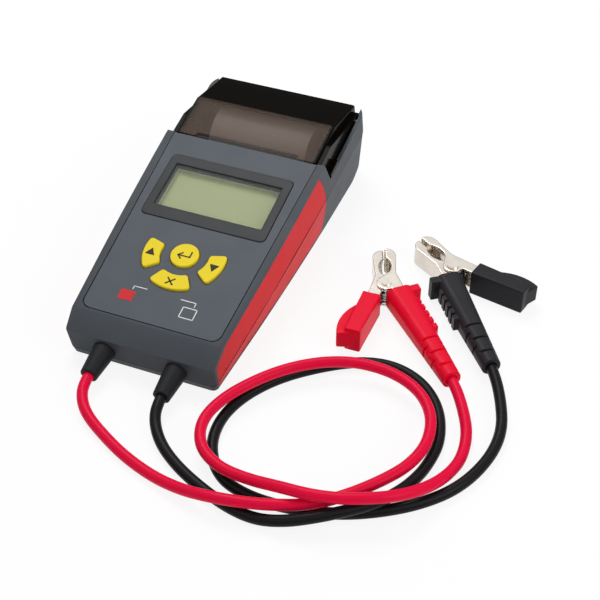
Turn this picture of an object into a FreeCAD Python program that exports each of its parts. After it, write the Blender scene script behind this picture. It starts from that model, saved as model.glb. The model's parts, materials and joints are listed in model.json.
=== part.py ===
"""Handheld battery tester with a built-in thermal printer and two clip leads.

Lengths are in millimetres and angles in degrees. The case is drawn in its face frame: x across, y along
the face from the nose to the printer, z up from the face. It is then tipped by face_tilt, so that the
flat base lies on the ground.
"""
import FreeCAD
import Part
import Sketcher
import math
import os
import re

Vector = FreeCAD.Vector
Placement = FreeCAD.Placement
Rotation = FreeCAD.Rotation

SIZES = {
    # Wedge of the case
    "face_tilt": 12,
    "nose_setback": 102.3,
    "nose_height": 21.5,
    "nose_lean": 5.6,
    "nose_edge_drop": 4.8,
    "nose_bevel_length": 12,
    "nose_half": 40,
    "nose_radius": 3,
    "waist_half": 44.1,
    "waist_station": 78,
    "tail_half": 46.8,
    "tail_radius": 11,
    "case_length": 201,
    "parting_drop": 17,
    "parting_tilt": 3.5,
    "lower_taper": 7,
    "lower_depth": 42,
    "tail_round_length": 21,
    "tail_round_bulge": 4.2,
    "tail_round_drop": 38,
    # Walls
    "deck_thick": 2.8,
    "side_wall": 3.2,
    "bay_wall": 2,
    "floor_wall": 2.2,
    "front_wall": 10,
    "case_reach": 130,
    # Printer bay
    "bay_length": 64.2,
    "cover_rake": 5.4,
    "sill_drop": 16,
    "rear_bar_drop": 24.5,
    # Front panel
    "panel_gap": 0.5,
    "panel_thick": 1.2,
    "panel_front": 14.4,
    "panel_front_inset": 2.8,
    "panel_rear_inset": 5.2,
    "panel_radius": 5,
    # Display
    "bezel_half": 35,
    "bezel_lead": 15.2,
    "bezel_length": 43.6,
    "bezel_radius": 3,
    "bezel_rise": 0.4,
    "window_half": 30.3,
    "window_inset": 8,
    "window_length": 29,
    "window_thick": 1,
    "window_ledge": 0.6,
    "window_fit": 0.1,
    "holder_margin": 2,
    "holder_lip": 1.6,
    "lcd_margin": 1.2,
    "lcd_thick": 3.1,
    # Keys around the round centre key
    "key_setback": 19.9,
    "key_radius": 7.4,
    "key_ring_inner": 12.8,
    "key_ring_outer": 21.9,
    "side_key_top": 16,
    "side_key_low": 38,
    "lower_key_span": 31,
    "key_rise": 1.3,
    "key_gap": 0.3,
    "key_corner": 1.8,
    "key_edge": 0.6,
    "key_flange": 0.8,
    "flange_thick": 1,
    "flange_gap": 0.4,
    "mat_thick": 1.6,
    "mat_margin": 4,
    # Main board
    "board_half": 30.5,
    "board_gap": 1,
    "board_length": 94,
    "board_thick": 1.6,
    "board_post_radius": 2,
    "board_post_inset": 2.2,
    # Red side trims
    "trim_thick": 1.2,
    "trim_seam": 0.1,
    "trim_top": 1.4,
    "trim_front": 3.4,
    "trim_tip_lead": 8.8,
    "trim_bend_lead": 4.2,
    "trim_bend_drop": 12,
    "trim_rear_lead": 2.2,
    "trim_lower_bend_lead": 3.4,
    "trim_lower_bend_drop": 37,
    "trim_foot_lead": 7.3,
    "trim_foot": 1.4,
    "parting_gap": 0.3,
    # Case screws
    "screw_near": 16,
    "screw_near_inset": 5.4,
    "screw_far_lead": 17.3,
    "screw_far_inset": 10.3,
    "boss_radius": 3.8,
    "screw_radius": 1.4,
    "screw_head_radius": 2.6,
    "screw_head_thick": 1.4,
    "screw_clamp": 5,
    "screw_bite": 9,
    "screw_fit": 0.1,
    # Strain relief boots and leads
    "lead_spread": 19.5,
    "boot_drop": 12.3,
    "boot_length": 17,
    "boot_base_radius": 5.8,
    "boot_tip_radius": 4.4,
    "boot_collar": 1.5,
    "plug_radius": 3.8,
    "plug_length": 11,
    "plug_fit": 0.1,
    "lead_radius": 2.75,
    "lead_fit": 0.05,
    "lead_entry": 5,
    "lead_exit": 4,
    # Smoked printer cover
    "cover_gap": 0.4,
    "cover_side_inset": 3.2,
    "cover_wall": 1.8,
    "cover_shoulder_width": 2.6,
    "cover_flat_length": 27.9,
    "cover_back_inset": 5.4,
    "cover_back_drop": 12.4,
    "cover_shoulder_drop": 1.5,
    "cover_shoulder_length": 15.2,
    "cover_shoulder_back_drop": 17.8,
    "cover_skirt_drop": 20,
    "cover_ear_drop": 23,
    "cover_ear_length": 11.6,
    "cover_lip_drop": 5,
    "cover_edge": 1.2,
    "slot_side_gap": 1,
    "slot_depth": 2.7,
    "tab_setback": 6.2,
    "tab_length": 11,
    "tab_sill_gap": 0.5,
    "tab_thick": 2.3,
    "tab_inset": 0.5,
    "hinge_inset": 11,
    "hinge_drop": 19,
    "hinge_radius": 1.25,
    "hinge_fit": 0.05,
    "pin_overhang": 0.6,
    # Paper roll and cradle
    "roll_setback": 25.2,
    "roll_drop": 24,
    "roll_radius": 17,
    "roll_half": 28.5,
    "core_radius": 6,
    "core_wall": 1,
    "cradle_gap": 0.4,
    "cradle_wall": 1.8,
    "cradle_side_gap": 0.5,
    "cradle_rim": 20,
    "cradle_foot_half": 20,
    "cradle_foot_thick": 3,
    "cradle_foot_length": 16,
    # Printer mechanism
    "platen_lead": 3.3,
    "platen_drop": 11.4,
    "platen_radius": 4.5,
    "platen_overhang": 0.5,
    "platen_shaft_radius": 2,
    "shaft_fit": 0.05,
    "frame_side_gap": 2,
    "frame_thick": 2,
    "frame_front_reach": 6.5,
    "frame_rear_reach": 7.5,
    "frame_top_drop": 6,
    "frame_waist_drop": 43,
    "frame_foot_length": 9,
    "frame_bar_thick": 2,
    "head_gap": 0.3,
    "head_thick": 2,
    "head_top_drop": 6.5,
    "head_height": 18,
    "gear_gap": 0.6,
    "gear_thick": 3,
    "gear_module": 0.6,
    "platen_teeth": 20,
    "idler_teeth": 24,
    "pinion_teeth": 10,
    "tooth_share": 0.4,
    "tooth_rise": 0.9,
    "tooth_dip": 1.25,
    "tooth_sink": 0.3,
    "tooth_flare": 1.35,
    "tooth_narrow": 0.55,
    "idler_pin_radius": 1.5,
    "motor_radius": 7,
    "motor_length": 14,
    "motor_shaft_radius": 1,
    "motor_shaft_depth": 8,
    "spindle_clearance": 1,
    # Clips, about the pivot, with the jaws along +y
    "clip_height": 7.4,
    "handle_splay": 20,
    "jaw_reach": 27.5,
    "jaw_gap": 0.25,
    "jaw_half": 6.1,
    "jaw_nose_half": 4.2,
    "jaw_nose": 26.2,
    "jaw_shoulder": 21.5,
    "jaw_waist_half": 5.4,
    "jaw_waist": 7.6,
    "jaw_root_half": 1.8,
    "jaw_root": 8.5,
    "jaw_throat": 3.2,
    "jaw_throat_station": 14,
    "jaw_tooth_pitch": 1.5,
    "jaw_tooth_depth": 0.9,
    "lobe_radius": 5,
    "lobe_end": 120,
    "lever_top": 6.2,
    "lever_low": 4.8,
    "plate_thick": 1.2,
    "tang_inner": 0.8,
    "tang_outer": 7.2,
    "tang_root": 5.9,
    "tang_length": 26,
    "rivet_radius": 2,
    "rivet_fit": 0.05,
    "rivet_head_radius": 3.2,
    "rivet_head_thick": 0.9,
    "rivet_tail_radius": 2.6,
    "rivet_tail_thick": 0.6,
    "spring_radius": 5.1,
    "spring_wire": 1.1,
    "spring_pitch": 1.6,
    "spring_leg": 16,
    # Long sleeve of the cable handle
    "sleeve_start": 6,
    "sleeve_length": 64,
    "sleeve_offset": 4.6,
    "sleeve_width": 14.4,
    "sleeve_height": 14.4,
    "sleeve_corner": 4.5,
    "sleeve_end_width": 9.6,
    "sleeve_end_corner": 4.5,
    "sleeve_fit": 0.1,
    "guard_reach": 15,
    "guard_height": 6,
    "guard_thick": 4.5,
    "ridge_start": 14,
    "ridge_pitch": 5,
    "ridge_length": 3.4,
    "ridge_rise": 12.4,
    "ridge_half": 4,
    "relief_start": 44,
    "relief_pitch": 4.6,
    "relief_width": 1.1,
    "relief_core": 3.5,
    # Short grip of the other handle
    "grip_start": 11,
    "grip_end": 41,
    "grip_inner": 0.6,
    "grip_outer": 9.2,
    "grip_end_inner": 1,
    "grip_half": 7.3,
    "fin_start": 19,
    "fin_middle": 30,
    "fin_reach": 14.2,
    "fin_end": 43.5,
    "fin_end_reach": 12.6,
    "fin_half": 5,
    # Where the two clips lie
    "red_clip_across": 94.4,
    "red_clip_along": -5.3,
    "red_clip_turn": 21.7,
    "black_clip_across": 122.4,
    "black_clip_along": 20.4,
    "black_clip_turn": 56,
}

# Stations along the face and half widths that follow from the sizes above
LAYOUT = {
    "cover_front": "case_length - bay_length",
    "cover_crease": "cover_front + cover_flat_length",
    "cover_shoulder_crease": "cover_front + cover_shoulder_length",
    "cover_back": "case_length - cover_back_inset",
    "cover_half": "tail_half - cover_side_inset",
    "cover_crown_half": "cover_half - cover_shoulder_width",
    "tab_front": "cover_front + tab_setback",
    "tab_drop": "sill_drop - tab_sill_gap - tab_thick",
    "tab_reach": "tail_half - tab_inset",
    "hinge_station": "case_length - hinge_inset",
    "roll_station": "cover_front + roll_setback",
    "slot_half": "roll_half + slot_side_gap",
    "platen_station": "cover_front - platen_lead",
    "platen_half": "roll_half + platen_overhang",
    "frame_inner": "platen_half + frame_side_gap",
    "board_far": "platen_station - frame_front_reach - board_gap",
    "board_near": "board_far - board_length",
    "bezel_near": "cover_front - bezel_lead - bezel_length",
    "window_near": "bezel_near + window_inset",
    "key_station": "bezel_near - key_setback",
    "panel_front_half": "nose_half - panel_front_inset",
    "panel_rear_half": "tail_half - panel_rear_inset",
    "trim_tip": "cover_front - trim_tip_lead",
    "trim_bend": "cover_front - trim_bend_lead",
    "trim_rear": "cover_front - trim_rear_lead",
    "trim_lower_bend": "cover_front - trim_lower_bend_lead",
    "trim_foot_rear": "cover_front - trim_foot_lead",
    "screw_near_half": "nose_half - screw_near_inset",
    "screw_far": "cover_front - screw_far_lead",
    "screw_far_half": "tail_half - screw_far_inset",
}

RIDGES = 5
RELIEF_RINGS = 5
JAW_TEETH = 5
SPRING_TURNS = 3
# Arcs of a lead take this share of the shorter run beside each corner
ARC_SHARE = 0.45
# Points on which the least gap of a spring to itself is measured
GAP_POINTS = 500
# Edges and points closer than this count as meeting
SNAP = 1e-6
# An edge whose direction rises more than this stands upright
UPRIGHT = 0.99
# Points of a sketch's geometry, and the geometry of its origin
START, END, MIDDLE = 1, 2, 3
ORIGIN = -1
BOOT_SIDES = {"red_lead_boot": -1, "black_lead_boot": 1}
FLIP = Placement(Vector(), Rotation(Vector(0, 1, 0), 180))

# Points that each lead passes on the ground, where it crosses others raised on top of them
LEAD_ROUTES = {
    "red": [
        (-17.0, -128.3, 5.2), (-10.0, -136.2, 3.6), (3.2, -144.2, 2.8), (18.5, -152.2, 2.8),
        (36.0, -158.2, 2.8), (52.0, -162.0, 5.4), (65.0, -163.8, 9.0), (80.0, -162.0, 9.6),
        (95.0, -157.6, 9.2), (109.2, -151.6, 9.1), (121.6, -141.4, 9.1), (133.2, -128.4, 9.2),
        (142.4, -114.6, 9.2), (146.2, -99.0, 9.2), (143.0, -82.0, 9.2), (133.0, -69.0, 9.2),
        (118.0, -62.0, 9.2), (101.0, -61.2, 9.2), (85.0, -66.2, 9.2), (69.5, -77.0, 9.2),
        (57.0, -91.6, 9.2), (47.6, -108.2, 9.2), (44.2, -124.2, 9.2), (50.2, -139.0, 9.2),
        (63.5, -147.2, 9.2), (80.0, -149.8, 10.8), (95.0, -151.0, 14.0), (108.0, -151.8, 15.8),
        (120.0, -149.4, 15.8), (131.0, -145.2, 15.8), (141.0, -139.6, 15.0), (149.4, -131.2, 12.4),
        (155.8, -120.4, 8.6), (159.8, -108.2, 4.6), (162.0, -96.0, 2.8), (160.4, -82.0, 3.6),
        (155.0, -70.4, 5.8),
    ],
    "black": [
        (22.0, -129.0, 4.4), (30.0, -139.0, 2.8), (42.5, -148.2, 2.8), (58.0, -155.8, 2.8),
        (74.0, -161.6, 2.8), (88.5, -163.6, 3.2), (101.5, -161.8, 6.0), (113.0, -157.6, 9.0),
        (124.4, -149.6, 9.2), (134.6, -141.0, 9.2), (141.6, -132.0, 8.6), (146.0, -120.0, 5.6),
        (148.8, -106.0, 2.8), (149.8, -89.5, 2.8), (143.5, -70.8, 2.8), (131.0, -57.0, 2.8),
        (114.0, -51.0, 2.8), (97.0, -54.8, 2.8), (80.0, -66.0, 2.8), (64.5, -80.2, 2.8),
        (53.5, -97.6, 2.8), (49.2, -115.5, 2.8), (52.5, -133.0, 2.8), (63.5, -147.6, 2.8),
        (80.0, -152.8, 2.8), (99.0, -152.4, 2.8), (118.0, -148.4, 2.8), (135.5, -140.4, 2.8),
        (153.0, -128.2, 2.8), (166.2, -112.8, 2.8), (173.8, -92.6, 2.8), (175.0, -74.0, 3.2),
        (169.8, -57.6, 5.4),
    ],
}

doc = FreeCAD.newDocument("BatteryTester")
sheet = doc.addObject("Spreadsheet::Sheet", "Sizes")
nodes = {}


def fill_sheet():
    for row, (alias, number) in enumerate(SIZES.items(), 1):
        sheet.set(f"A{row}", alias)
        sheet.set(f"B{row}", str(number))
        sheet.setAlias(f"B{row}", alias)
    doc.recompute()


def cell(match):
    name = match.group(0)
    if name in LAYOUT:
        return f"({tie(LAYOUT[name])})"
    return f"Sizes.{name}"


def tie(text):
    """Point every alias in an expression at its cell, with the layout written out."""
    return re.sub(r"[a-z]+(?:_[a-z]+)+", cell, str(text))


def size(text):
    return float(sheet.evalExpression(tie(text)))


def spot(x, y):
    return Vector(size(x), size(y), 0)


def pin_point(sketch, geometry, corner, x, y):
    for kind, text in (("DistanceX", x), ("DistanceY", y)):
        rule = Sketcher.Constraint(kind, ORIGIN, START, geometry, corner, size(text))
        index = sketch.addConstraint(rule)
        sketch.setExpression(f"Constraints[{index}]", tie(text))


def draw_loop(sketch, path):
    """Closed loop: (x, y) is a line to that corner, (mid x, mid y, x, y) an arc through its middle."""
    ends = []
    for number, step in enumerate(path):
        begin = path[number - 1][-2:]
        start = spot(*begin)
        finish = spot(*step[-2:])
        if len(step) == 2:
            edge = sketch.addGeometry(Part.LineSegment(start, finish))
        else:
            edge = sketch.addGeometry(Part.Arc(start, spot(*step[:2]), finish))
            middle = sketch.addGeometry(Part.Point(spot(*step[:2])), True)
            sketch.addConstraint(Sketcher.Constraint("PointOnObject", middle, START, edge))
            pin_point(sketch, middle, START, *step[:2])
        forward = sketch.getPoint(edge, START).isEqual(start, SNAP)
        first, last = (START, END) if forward else (END, START)
        pin_point(sketch, edge, last, *step[-2:])
        ends.append(((edge, first), (edge, last)))
    for number, (head, _) in enumerate(ends):
        tail = ends[number - 1][1]
        sketch.addConstraint(Sketcher.Constraint("Coincident", *tail, *head))


def draw_circle(sketch, x, y, radius):
    circle = sketch.addGeometry(Part.Circle(spot(x, y), Vector(0, 0, 1), size(radius)))
    pin_point(sketch, circle, MIDDLE, x, y)
    index = sketch.addConstraint(Sketcher.Constraint("Radius", circle, size(radius)))
    sketch.setExpression(f"Constraints[{index}]", tie(radius))


class Solid:
    """A body built from sketches on its own origin planes."""

    def __init__(self, name):
        self.body = doc.addObject("PartDesign::Body", name)
        self.datums = {item.Role: item for item in self.body.Origin.OriginFeatures}

    def sketch(self, plane, *loops, circles=(), shift="0", lean=None):
        """Sketch on a plane moved by shift along its normal and leant about its own x axis."""
        sketch = self.body.newObject("Sketcher::SketchObject", f"{self.body.Name}_sketch")
        sketch.AttachmentSupport = [(self.datums[f"{plane}_Plane"], "")]
        sketch.MapMode = "FlatFace"
        if lean:
            sketch.AttachmentOffset = Placement(Vector(), Rotation(Vector(1, 0, 0), size(lean)))
        sketch.setExpression("AttachmentOffset.Base.z", tie(shift))
        for loop in loops:
            draw_loop(sketch, loop)
        for circle in circles:
            draw_circle(sketch, *circle)
        doc.recompute()
        return sketch

    def feature(self, kind, sketch, length, both, flip):
        item = self.body.newObject(f"PartDesign::{kind}", f"{self.body.Name}_{kind.lower()}")
        item.Profile = sketch
        item.setExpression("Length", tie(length))
        item.SideType = "Symmetric" if both else "One side"
        item.Reversed = flip
        return item

    def pad(self, sketch, length, both=False, flip=False, taper=None):
        item = self.feature("Pad", sketch, length, both, flip)
        if taper:
            item.setExpression("TaperAngle", tie(taper))
        doc.recompute()
        return item

    def pocket(self, sketch, length, both=False, flip=False):
        before = self.body.Shape.Volume
        item = self.feature("Pocket", sketch, length, both, flip)
        doc.recompute()
        if self.body.Shape.Volume >= before:
            raise RuntimeError(f"{item.Name} cuts nothing")
        return item

    def revolve(self, sketch, axis):
        item = self.body.newObject("PartDesign::Revolution", f"{self.body.Name}_revolution")
        item.Profile = sketch
        item.ReferenceAxis = (self.datums[f"{axis}_Axis"], [""])
        item.Angle = 360
        doc.recompute()

    def loft(self, first, second):
        item = self.body.newObject("PartDesign::AdditiveLoft", f"{self.body.Name}_loft")
        item.Profile = first
        item.Sections = [second]
        item.Ruled = True
        doc.recompute()

    def ring_pattern(self, feature, axis, count):
        item = self.body.newObject("PartDesign::PolarPattern", f"{self.body.Name}_pattern")
        item.Originals = [feature]
        item.Axis = (self.datums[f"{axis}_Axis"], [""])
        item.Angle = 360
        item.setExpression("Occurrences", tie(count))
        self.body.Tip = item
        doc.recompute()

    def fillet(self, radius, wanted):
        """Round the edges of the last feature for which wanted(edge) holds."""
        base = self.body.Tip
        names = [f"Edge{n}" for n, edge in enumerate(base.Shape.Edges, 1) if wanted(edge)]
        item = self.body.newObject("PartDesign::Fillet", f"{self.body.Name}_fillet")
        item.Base = (base, names)
        item.setExpression("Radius", tie(radius))
        doc.recompute()


def boolean(kind, name, base, tool):
    item = doc.addObject(f"Part::{kind}", name)
    item.Base = base
    item.Tool = tool
    doc.recompute()
    return item


def cut(name, base, *tools):
    for number, tool in enumerate(tools, 1):
        label = name if number == len(tools) else f"{name}_cut"
        base = boolean("Cut", label, base, tool)
    return base


def fuse(name, base, *tools):
    for number, tool in enumerate(tools, 1):
        label = name if number == len(tools) else f"{name}_fuse"
        base = boolean("Fuse", label, base, tool)
    return base


def common(name, base, tool):
    return boolean("Common", name, base, tool)


def group(name, items):
    item = doc.addObject("Part::Compound", name)
    item.Links = items
    doc.recompute()
    return item


def keep(name, item, placement):
    item.Label = name
    item.Placement = placement
    nodes[name] = item


def face_placement():
    tilt = Rotation(Vector(1, 0, 0), size("face_tilt"))
    return Placement(Vector(0, -size("nose_setback"), size("nose_height * cos(face_tilt)")), tilt)


def box_path(left, right, low, high):
    return [(left, low), (right, low), (right, high), (left, high)]


def rounded_path(left, right, low, high, radius):
    near = f"({radius}) * (1 - cos(45))"
    return [
        (f"{left} + {near}", f"{low} + {near}", f"{left} + {radius}", low),
        (f"{right} - ({radius})", low),
        (f"{right} - {near}", f"{low} + {near}", right, f"{low} + {radius}"),
        (right, f"{high} - ({radius})"),
        (f"{right} - {near}", f"{high} - {near}", f"{right} - ({radius})", high),
        (f"{left} + {radius}", high),
        (f"{left} + {near}", f"{high} - {near}", left, f"{high} - ({radius})"),
        (left, f"{low} + {radius}"),
    ]


def side_prism(name, path, width="2 * case_reach", both=True, flip=False):
    """Prism across the case from an outline of its side view."""
    solid = Solid(name)
    solid.pad(solid.sketch("YZ", path), width, both=both, flip=flip)
    return solid.body


def plan_prism(name, low, height, *loops, circles=()):
    """Prism on the plan of the case, from low upwards."""
    solid = Solid(name)
    solid.pad(solid.sketch("XY", *loops, circles=circles, shift=low), height)
    return solid.body


def cross_rod(name, start, length, station, drop, *radii):
    """Round rod or tube along x."""
    solid = Solid(name)
    circles = [(station, f"0 - ({drop})", radius) for radius in radii]
    solid.pad(solid.sketch("YZ", circles=circles, shift=start), length)
    return solid.body


def parting_line(y):
    return f"0 - parting_drop - ({y}) * tan(parting_tilt)"


def base_line(y):
    return f"0 - nose_height - ({y}) * tan(face_tilt)"


def floor_line(y):
    return f"{base_line(y)} + floor_wall"


def case_outline(inset):
    """Plan of the case drawn in by inset: straight nose, bowed sides, round tail corners."""
    nose = f"(nose_half - ({inset}))"
    waist = f"(waist_half - ({inset}))"
    tail = f"(tail_half - ({inset}))"
    front = f"({inset})"
    rear = f"case_length - ({inset})"
    nose_near = "nose_radius * (1 - cos(45))"
    tail_side = "(tail_half - tail_radius)"
    tail_axis = "(case_length - tail_radius)"
    tail_far = f"(tail_radius - ({inset})) * cos(45)"
    return [
        (f"{nose} - nose_radius", front),
        (f"{nose} - {nose_near}", f"{front} + {nose_near}", nose, f"{front} + nose_radius"),
        (waist, "waist_station", tail, tail_axis),
        (f"{tail_side} + {tail_far}", f"{tail_axis} + {tail_far}", tail_side, rear),
        (f"0 - {tail_side}", rear),
        (f"0 - {tail_side} - {tail_far}", f"{tail_axis} + {tail_far}", f"0 - {tail}", tail_axis),
        (f"0 - {waist}", "waist_station", f"0 - {nose}", f"{front} + nose_radius"),
        (f"{nose_near} - {nose}", f"{front} + {nose_near}", f"nose_radius - {nose}", front),
    ]


def upper_block(name, inset):
    solid = Solid(name)
    solid.pad(solid.sketch("XY", case_outline(inset)), "case_reach", flip=True)
    return solid.body


def lower_block(name, inset, rise="0"):
    """Block below the parting plane, drawn in towards the base."""
    solid = Solid(name)
    lean = "0 - parting_tilt"
    top = solid.sketch("XY", case_outline(inset), shift=f"{rise} - parting_drop", lean=lean)
    foot_inset = f"{inset} + lower_depth * tan(lower_taper)"
    foot = solid.sketch("XY", case_outline(foot_inset), shift="0 - parting_drop - lower_depth", lean=lean)
    solid.loft(top, foot)
    return solid.body


def upper_profile():
    nose_back = "(parting_drop - nose_edge_drop) * tan(nose_lean)"
    past = "(case_length + front_wall)"
    return [
        ("0", parting_line("0")),
        (past, parting_line(past)),
        (past, "0 - sill_drop"),
        ("cover_front + cover_rake", "0 - sill_drop"),
        ("cover_front", "0"),
        ("nose_bevel_length", "0"),
        (nose_back, "0 - nose_edge_drop"),
    ]


def lower_profile(front, rise, wall):
    """Side view below the parting plane: flat base and a round heel, raised or drawn in by wall."""
    heel = "(case_length - tail_round_length)"
    bulge = f"(tail_round_bulge - {wall})"
    middle = f"({heel} + case_length) / 2 + {bulge}"
    middle_height = f"({base_line(heel)} - tail_round_drop) / 2 - {bulge}"
    rear = f"(case_length - {wall} + {rise})"
    return [
        (front, f"{base_line(front)} + {wall}"),
        (heel, f"{base_line(heel)} + {wall}"),
        (middle, middle_height, f"case_length - {wall}", "0 - tail_round_drop"),
        (rear, "0 - tail_round_drop"),
        (rear, "0"),
        (front, "0"),
    ]


def upper_trim_path():
    nose_back = "(parting_drop - nose_edge_drop) * tan(nose_lean)"
    return [
        ("trim_front", f"{parting_line('trim_front')} + parting_gap"),
        (f"trim_front + {nose_back}", "0 - nose_edge_drop - trim_top"),
        ("trim_front + nose_bevel_length", "0 - trim_top"),
        ("trim_tip", "0 - trim_top"),
        ("trim_bend", "0 - trim_bend_drop", "trim_rear", f"{parting_line('trim_rear')} + parting_gap"),
    ]


def lower_trim_path():
    return [
        ("trim_front", f"{base_line('trim_front')} + trim_foot"),
        ("trim_front", "0"),
        ("trim_rear", "0"),
        ("trim_rear", parting_line("trim_rear")),
        ("trim_lower_bend", "0 - trim_lower_bend_drop",
         "trim_foot_rear", f"{base_line('trim_foot_rear')} + trim_foot"),
    ]


def side_trim(name, block, path, side, depth):
    """Plate let into one side of a shell, following its surface."""
    ring = cut(f"{name}_ring", block(f"{name}_outer", "0"), block(f"{name}_inner", depth))
    zone = side_prism(f"{name}_zone", path, "case_reach", both=False, flip=side == "left")
    return common(name, ring, zone)


def make_trims():
    """Red side trims and the recesses that hold them."""
    recesses = {"upper": [], "lower": []}
    for level, block, path in (
        ("upper", upper_block, upper_trim_path()),
        ("lower", lower_block, lower_trim_path()),
    ):
        for side in ("left", "right"):
            name = f"{side}_trim_{level}"
            plate = side_trim(name, block, path, side, "trim_thick")
            keep(name, plate, FACE)
            recesses[level].append(side_trim(f"{name}_recess", block, path, side, "trim_thick + trim_seam"))
    return recesses


def panel_path(grow, rear):
    near = "panel_radius * (1 - cos(45))"
    front = f"(panel_front - {grow})"
    side = f"(panel_front_half + {grow})"
    back = f"(panel_rear_half + {grow})"
    return [
        (f"{side} - panel_radius", front),
        (f"{side} - {near}", f"{front} + {near}", side, f"{front} + panel_radius"),
        (back, rear),
        (f"0 - {back}", rear),
        (f"0 - {side}", f"{front} + panel_radius"),
        (f"{near} - {side}", f"{front} + {near}", f"panel_radius - {side}", front),
    ]


def window_path(grow):
    half = f"window_half + {grow}"
    return box_path(
        f"0 - ({half})", half, f"window_near - ({grow})", f"window_near + window_length + {grow}"
    )


def bezel_path(grow):
    half = f"(bezel_half + {grow})"
    far = f"bezel_near + bezel_length + {grow}"
    return rounded_path(f"0 - {half}", half, f"bezel_near - {grow}", far, f"(bezel_radius + {grow})")


SECTOR_KEYS = {
    "up_button": ("(180 - side_key_top)", "(180 + side_key_low)"),
    "down_button": ("(0 - side_key_low)", "side_key_top"),
    "escape_button": ("(270 - lower_key_span)", "(270 + lower_key_span)"),
}


def sector_path(first, last, grow):
    """Piece of the ring round the centre key, grown on every side."""
    middle = f"(({first} + {last}) / 2)"
    outer = f"(key_ring_outer + {grow})"
    inner = f"(key_ring_inner - {grow})"

    def corner(radius, angle, sign):
        across = f"{radius} * cos({angle}) - {sign} * {grow} * sin({angle})"
        along = f"key_station + {radius} * sin({angle}) + {sign} * {grow} * cos({angle})"
        return across, along

    def top(radius):
        return f"{radius} * cos({middle})", f"key_station + {radius} * sin({middle})"

    return [
        corner(outer, first, "(-1)"),
        top(outer) + corner(outer, last, "1"),
        corner(inner, last, "1"),
        top(inner) + corner(inner, first, "(-1)"),
    ]


def is_upright(edge):
    return abs(edge.tangentAt(edge.FirstParameter).z) > UPRIGHT


def key_prism(name, key, grow, low, height):
    solid = Solid(name)
    if key in SECTOR_KEYS:
        plan = solid.sketch("XY", sector_path(*SECTOR_KEYS[key], f"({grow})"), shift=low)
        solid.pad(plan, height)
        solid.fillet(f"key_corner + {grow}", is_upright)
    else:
        circle = ("0", "key_station", f"key_radius + {grow}")
        solid.pad(solid.sketch("XY", circles=[circle], shift=low), height)
    return solid


KEYS = ["enter_button", *SECTOR_KEYS]
FLANGE_LOW = "0 - deck_thick - flange_gap - flange_thick"
BOARD_TOP = "0 - deck_thick - holder_lip - lcd_thick"


def make_keys():
    """Keys with a flange under the deck, and the holes that they slide in."""
    holes = []
    for key in KEYS:
        cap = key_prism(f"{key}_cap", key, "0", FLANGE_LOW, f"key_rise - ({FLANGE_LOW})")
        top = size("key_rise")
        cap.fillet("key_edge", lambda edge: edge.BoundBox.ZMin > top - SNAP)
        flange = key_prism(f"{key}_flange", key, "key_flange", FLANGE_LOW, "flange_thick")
        keep(key, fuse(key, cap.body, flange.body), FACE)
        holes.append(key_prism(f"{key}_hole", key, "key_gap", "0 - 2 * deck_thick", "3 * deck_thick").body)
    return holes


def screw_spots():
    return [
        (f"{sign} * {half}", station)
        for half, station in (("screw_near_half", "screw_near"), ("screw_far_half", "screw_far"))
        for sign in ("(-1)", "1")
    ]


def screw_shape(name, x, y, fit, head_length):
    """Screw from below, or the hole for it: its head clamps the lower boss at a fixed depth."""
    solid = Solid(name)
    seat = f"{parting_line(y)} - screw_clamp"
    head = solid.sketch("XY", circles=[(x, y, f"screw_head_radius + {fit}")], shift=seat)
    solid.pad(head, head_length, flip=True)
    shank = solid.sketch("XY", circles=[(x, y, f"screw_radius + {fit}")], shift=seat)
    solid.pad(shank, f"screw_clamp + screw_bite + {fit}")
    return solid.body


def make_screws():
    screws = []
    holes = []
    for number, (x, y) in enumerate(screw_spots(), 1):
        screws.append(screw_shape(f"case_screw_{number}", x, y, "0", "screw_head_thick"))
        holes.append(screw_shape(f"screw_hole_{number}", x, y, "screw_fit", "lower_depth"))
    keep("case_screws", group("case_screws", screws), FACE)
    return holes


def boot_placement(side):
    """Middle of a boot's base on the nose, with its axis square to the nose."""
    station = size("(parting_drop - boot_drop) * tan(nose_lean)")
    middle = Vector(side * size("lead_spread"), station, -size("boot_drop"))
    return Placement(middle, Rotation(Vector(1, 0, 0), -size("nose_lean")))


def make_boots():
    """Tapered boots, each with a plug in the nose and a bore for its lead."""
    holes = []
    for name, side in BOOT_SIDES.items():
        boot = Solid(name)
        bore = "lead_radius + lead_fit"
        profile = [
            ("0", "plug_length"),
            ("0", "lead_entry - boot_length"),
            (bore, "lead_entry - boot_length"),
            (bore, "0 - boot_length"),
            ("boot_tip_radius", "0 - boot_length"),
            ("boot_base_radius", "0 - boot_collar"),
            ("boot_base_radius", "0"),
            ("plug_radius", "0"),
            ("plug_radius", "plug_length"),
        ]
        boot.revolve(boot.sketch("XY", profile), "Y")
        keep(name, boot.body, FACE.multiply(boot_placement(side)))
        hole = Solid(f"{name}_hole")
        circle = ("0", "0", "plug_radius + plug_fit")
        hole.pad(hole.sketch("XZ", circles=[circle]), "2 * (plug_length + plug_fit)", both=True)
        hole.body.Placement = boot_placement(side)
        holes.append(hole.body)
    return holes


def pin_rods(name, grow):
    """Hinge pin of each side, from inside the cover's wall into the arm of the case."""
    start = "cover_half - cover_wall - pin_overhang"
    length = f"(tail_half - pin_overhang + {grow} - ({start}))"
    axis = ("hinge_station", "hinge_drop", f"hinge_radius + {grow}")
    return [
        cross_rod(f"{name}_right", start, length, *axis),
        cross_rod(f"{name}_left", f"0 - ({start}) - {length}", length, *axis),
    ]


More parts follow.
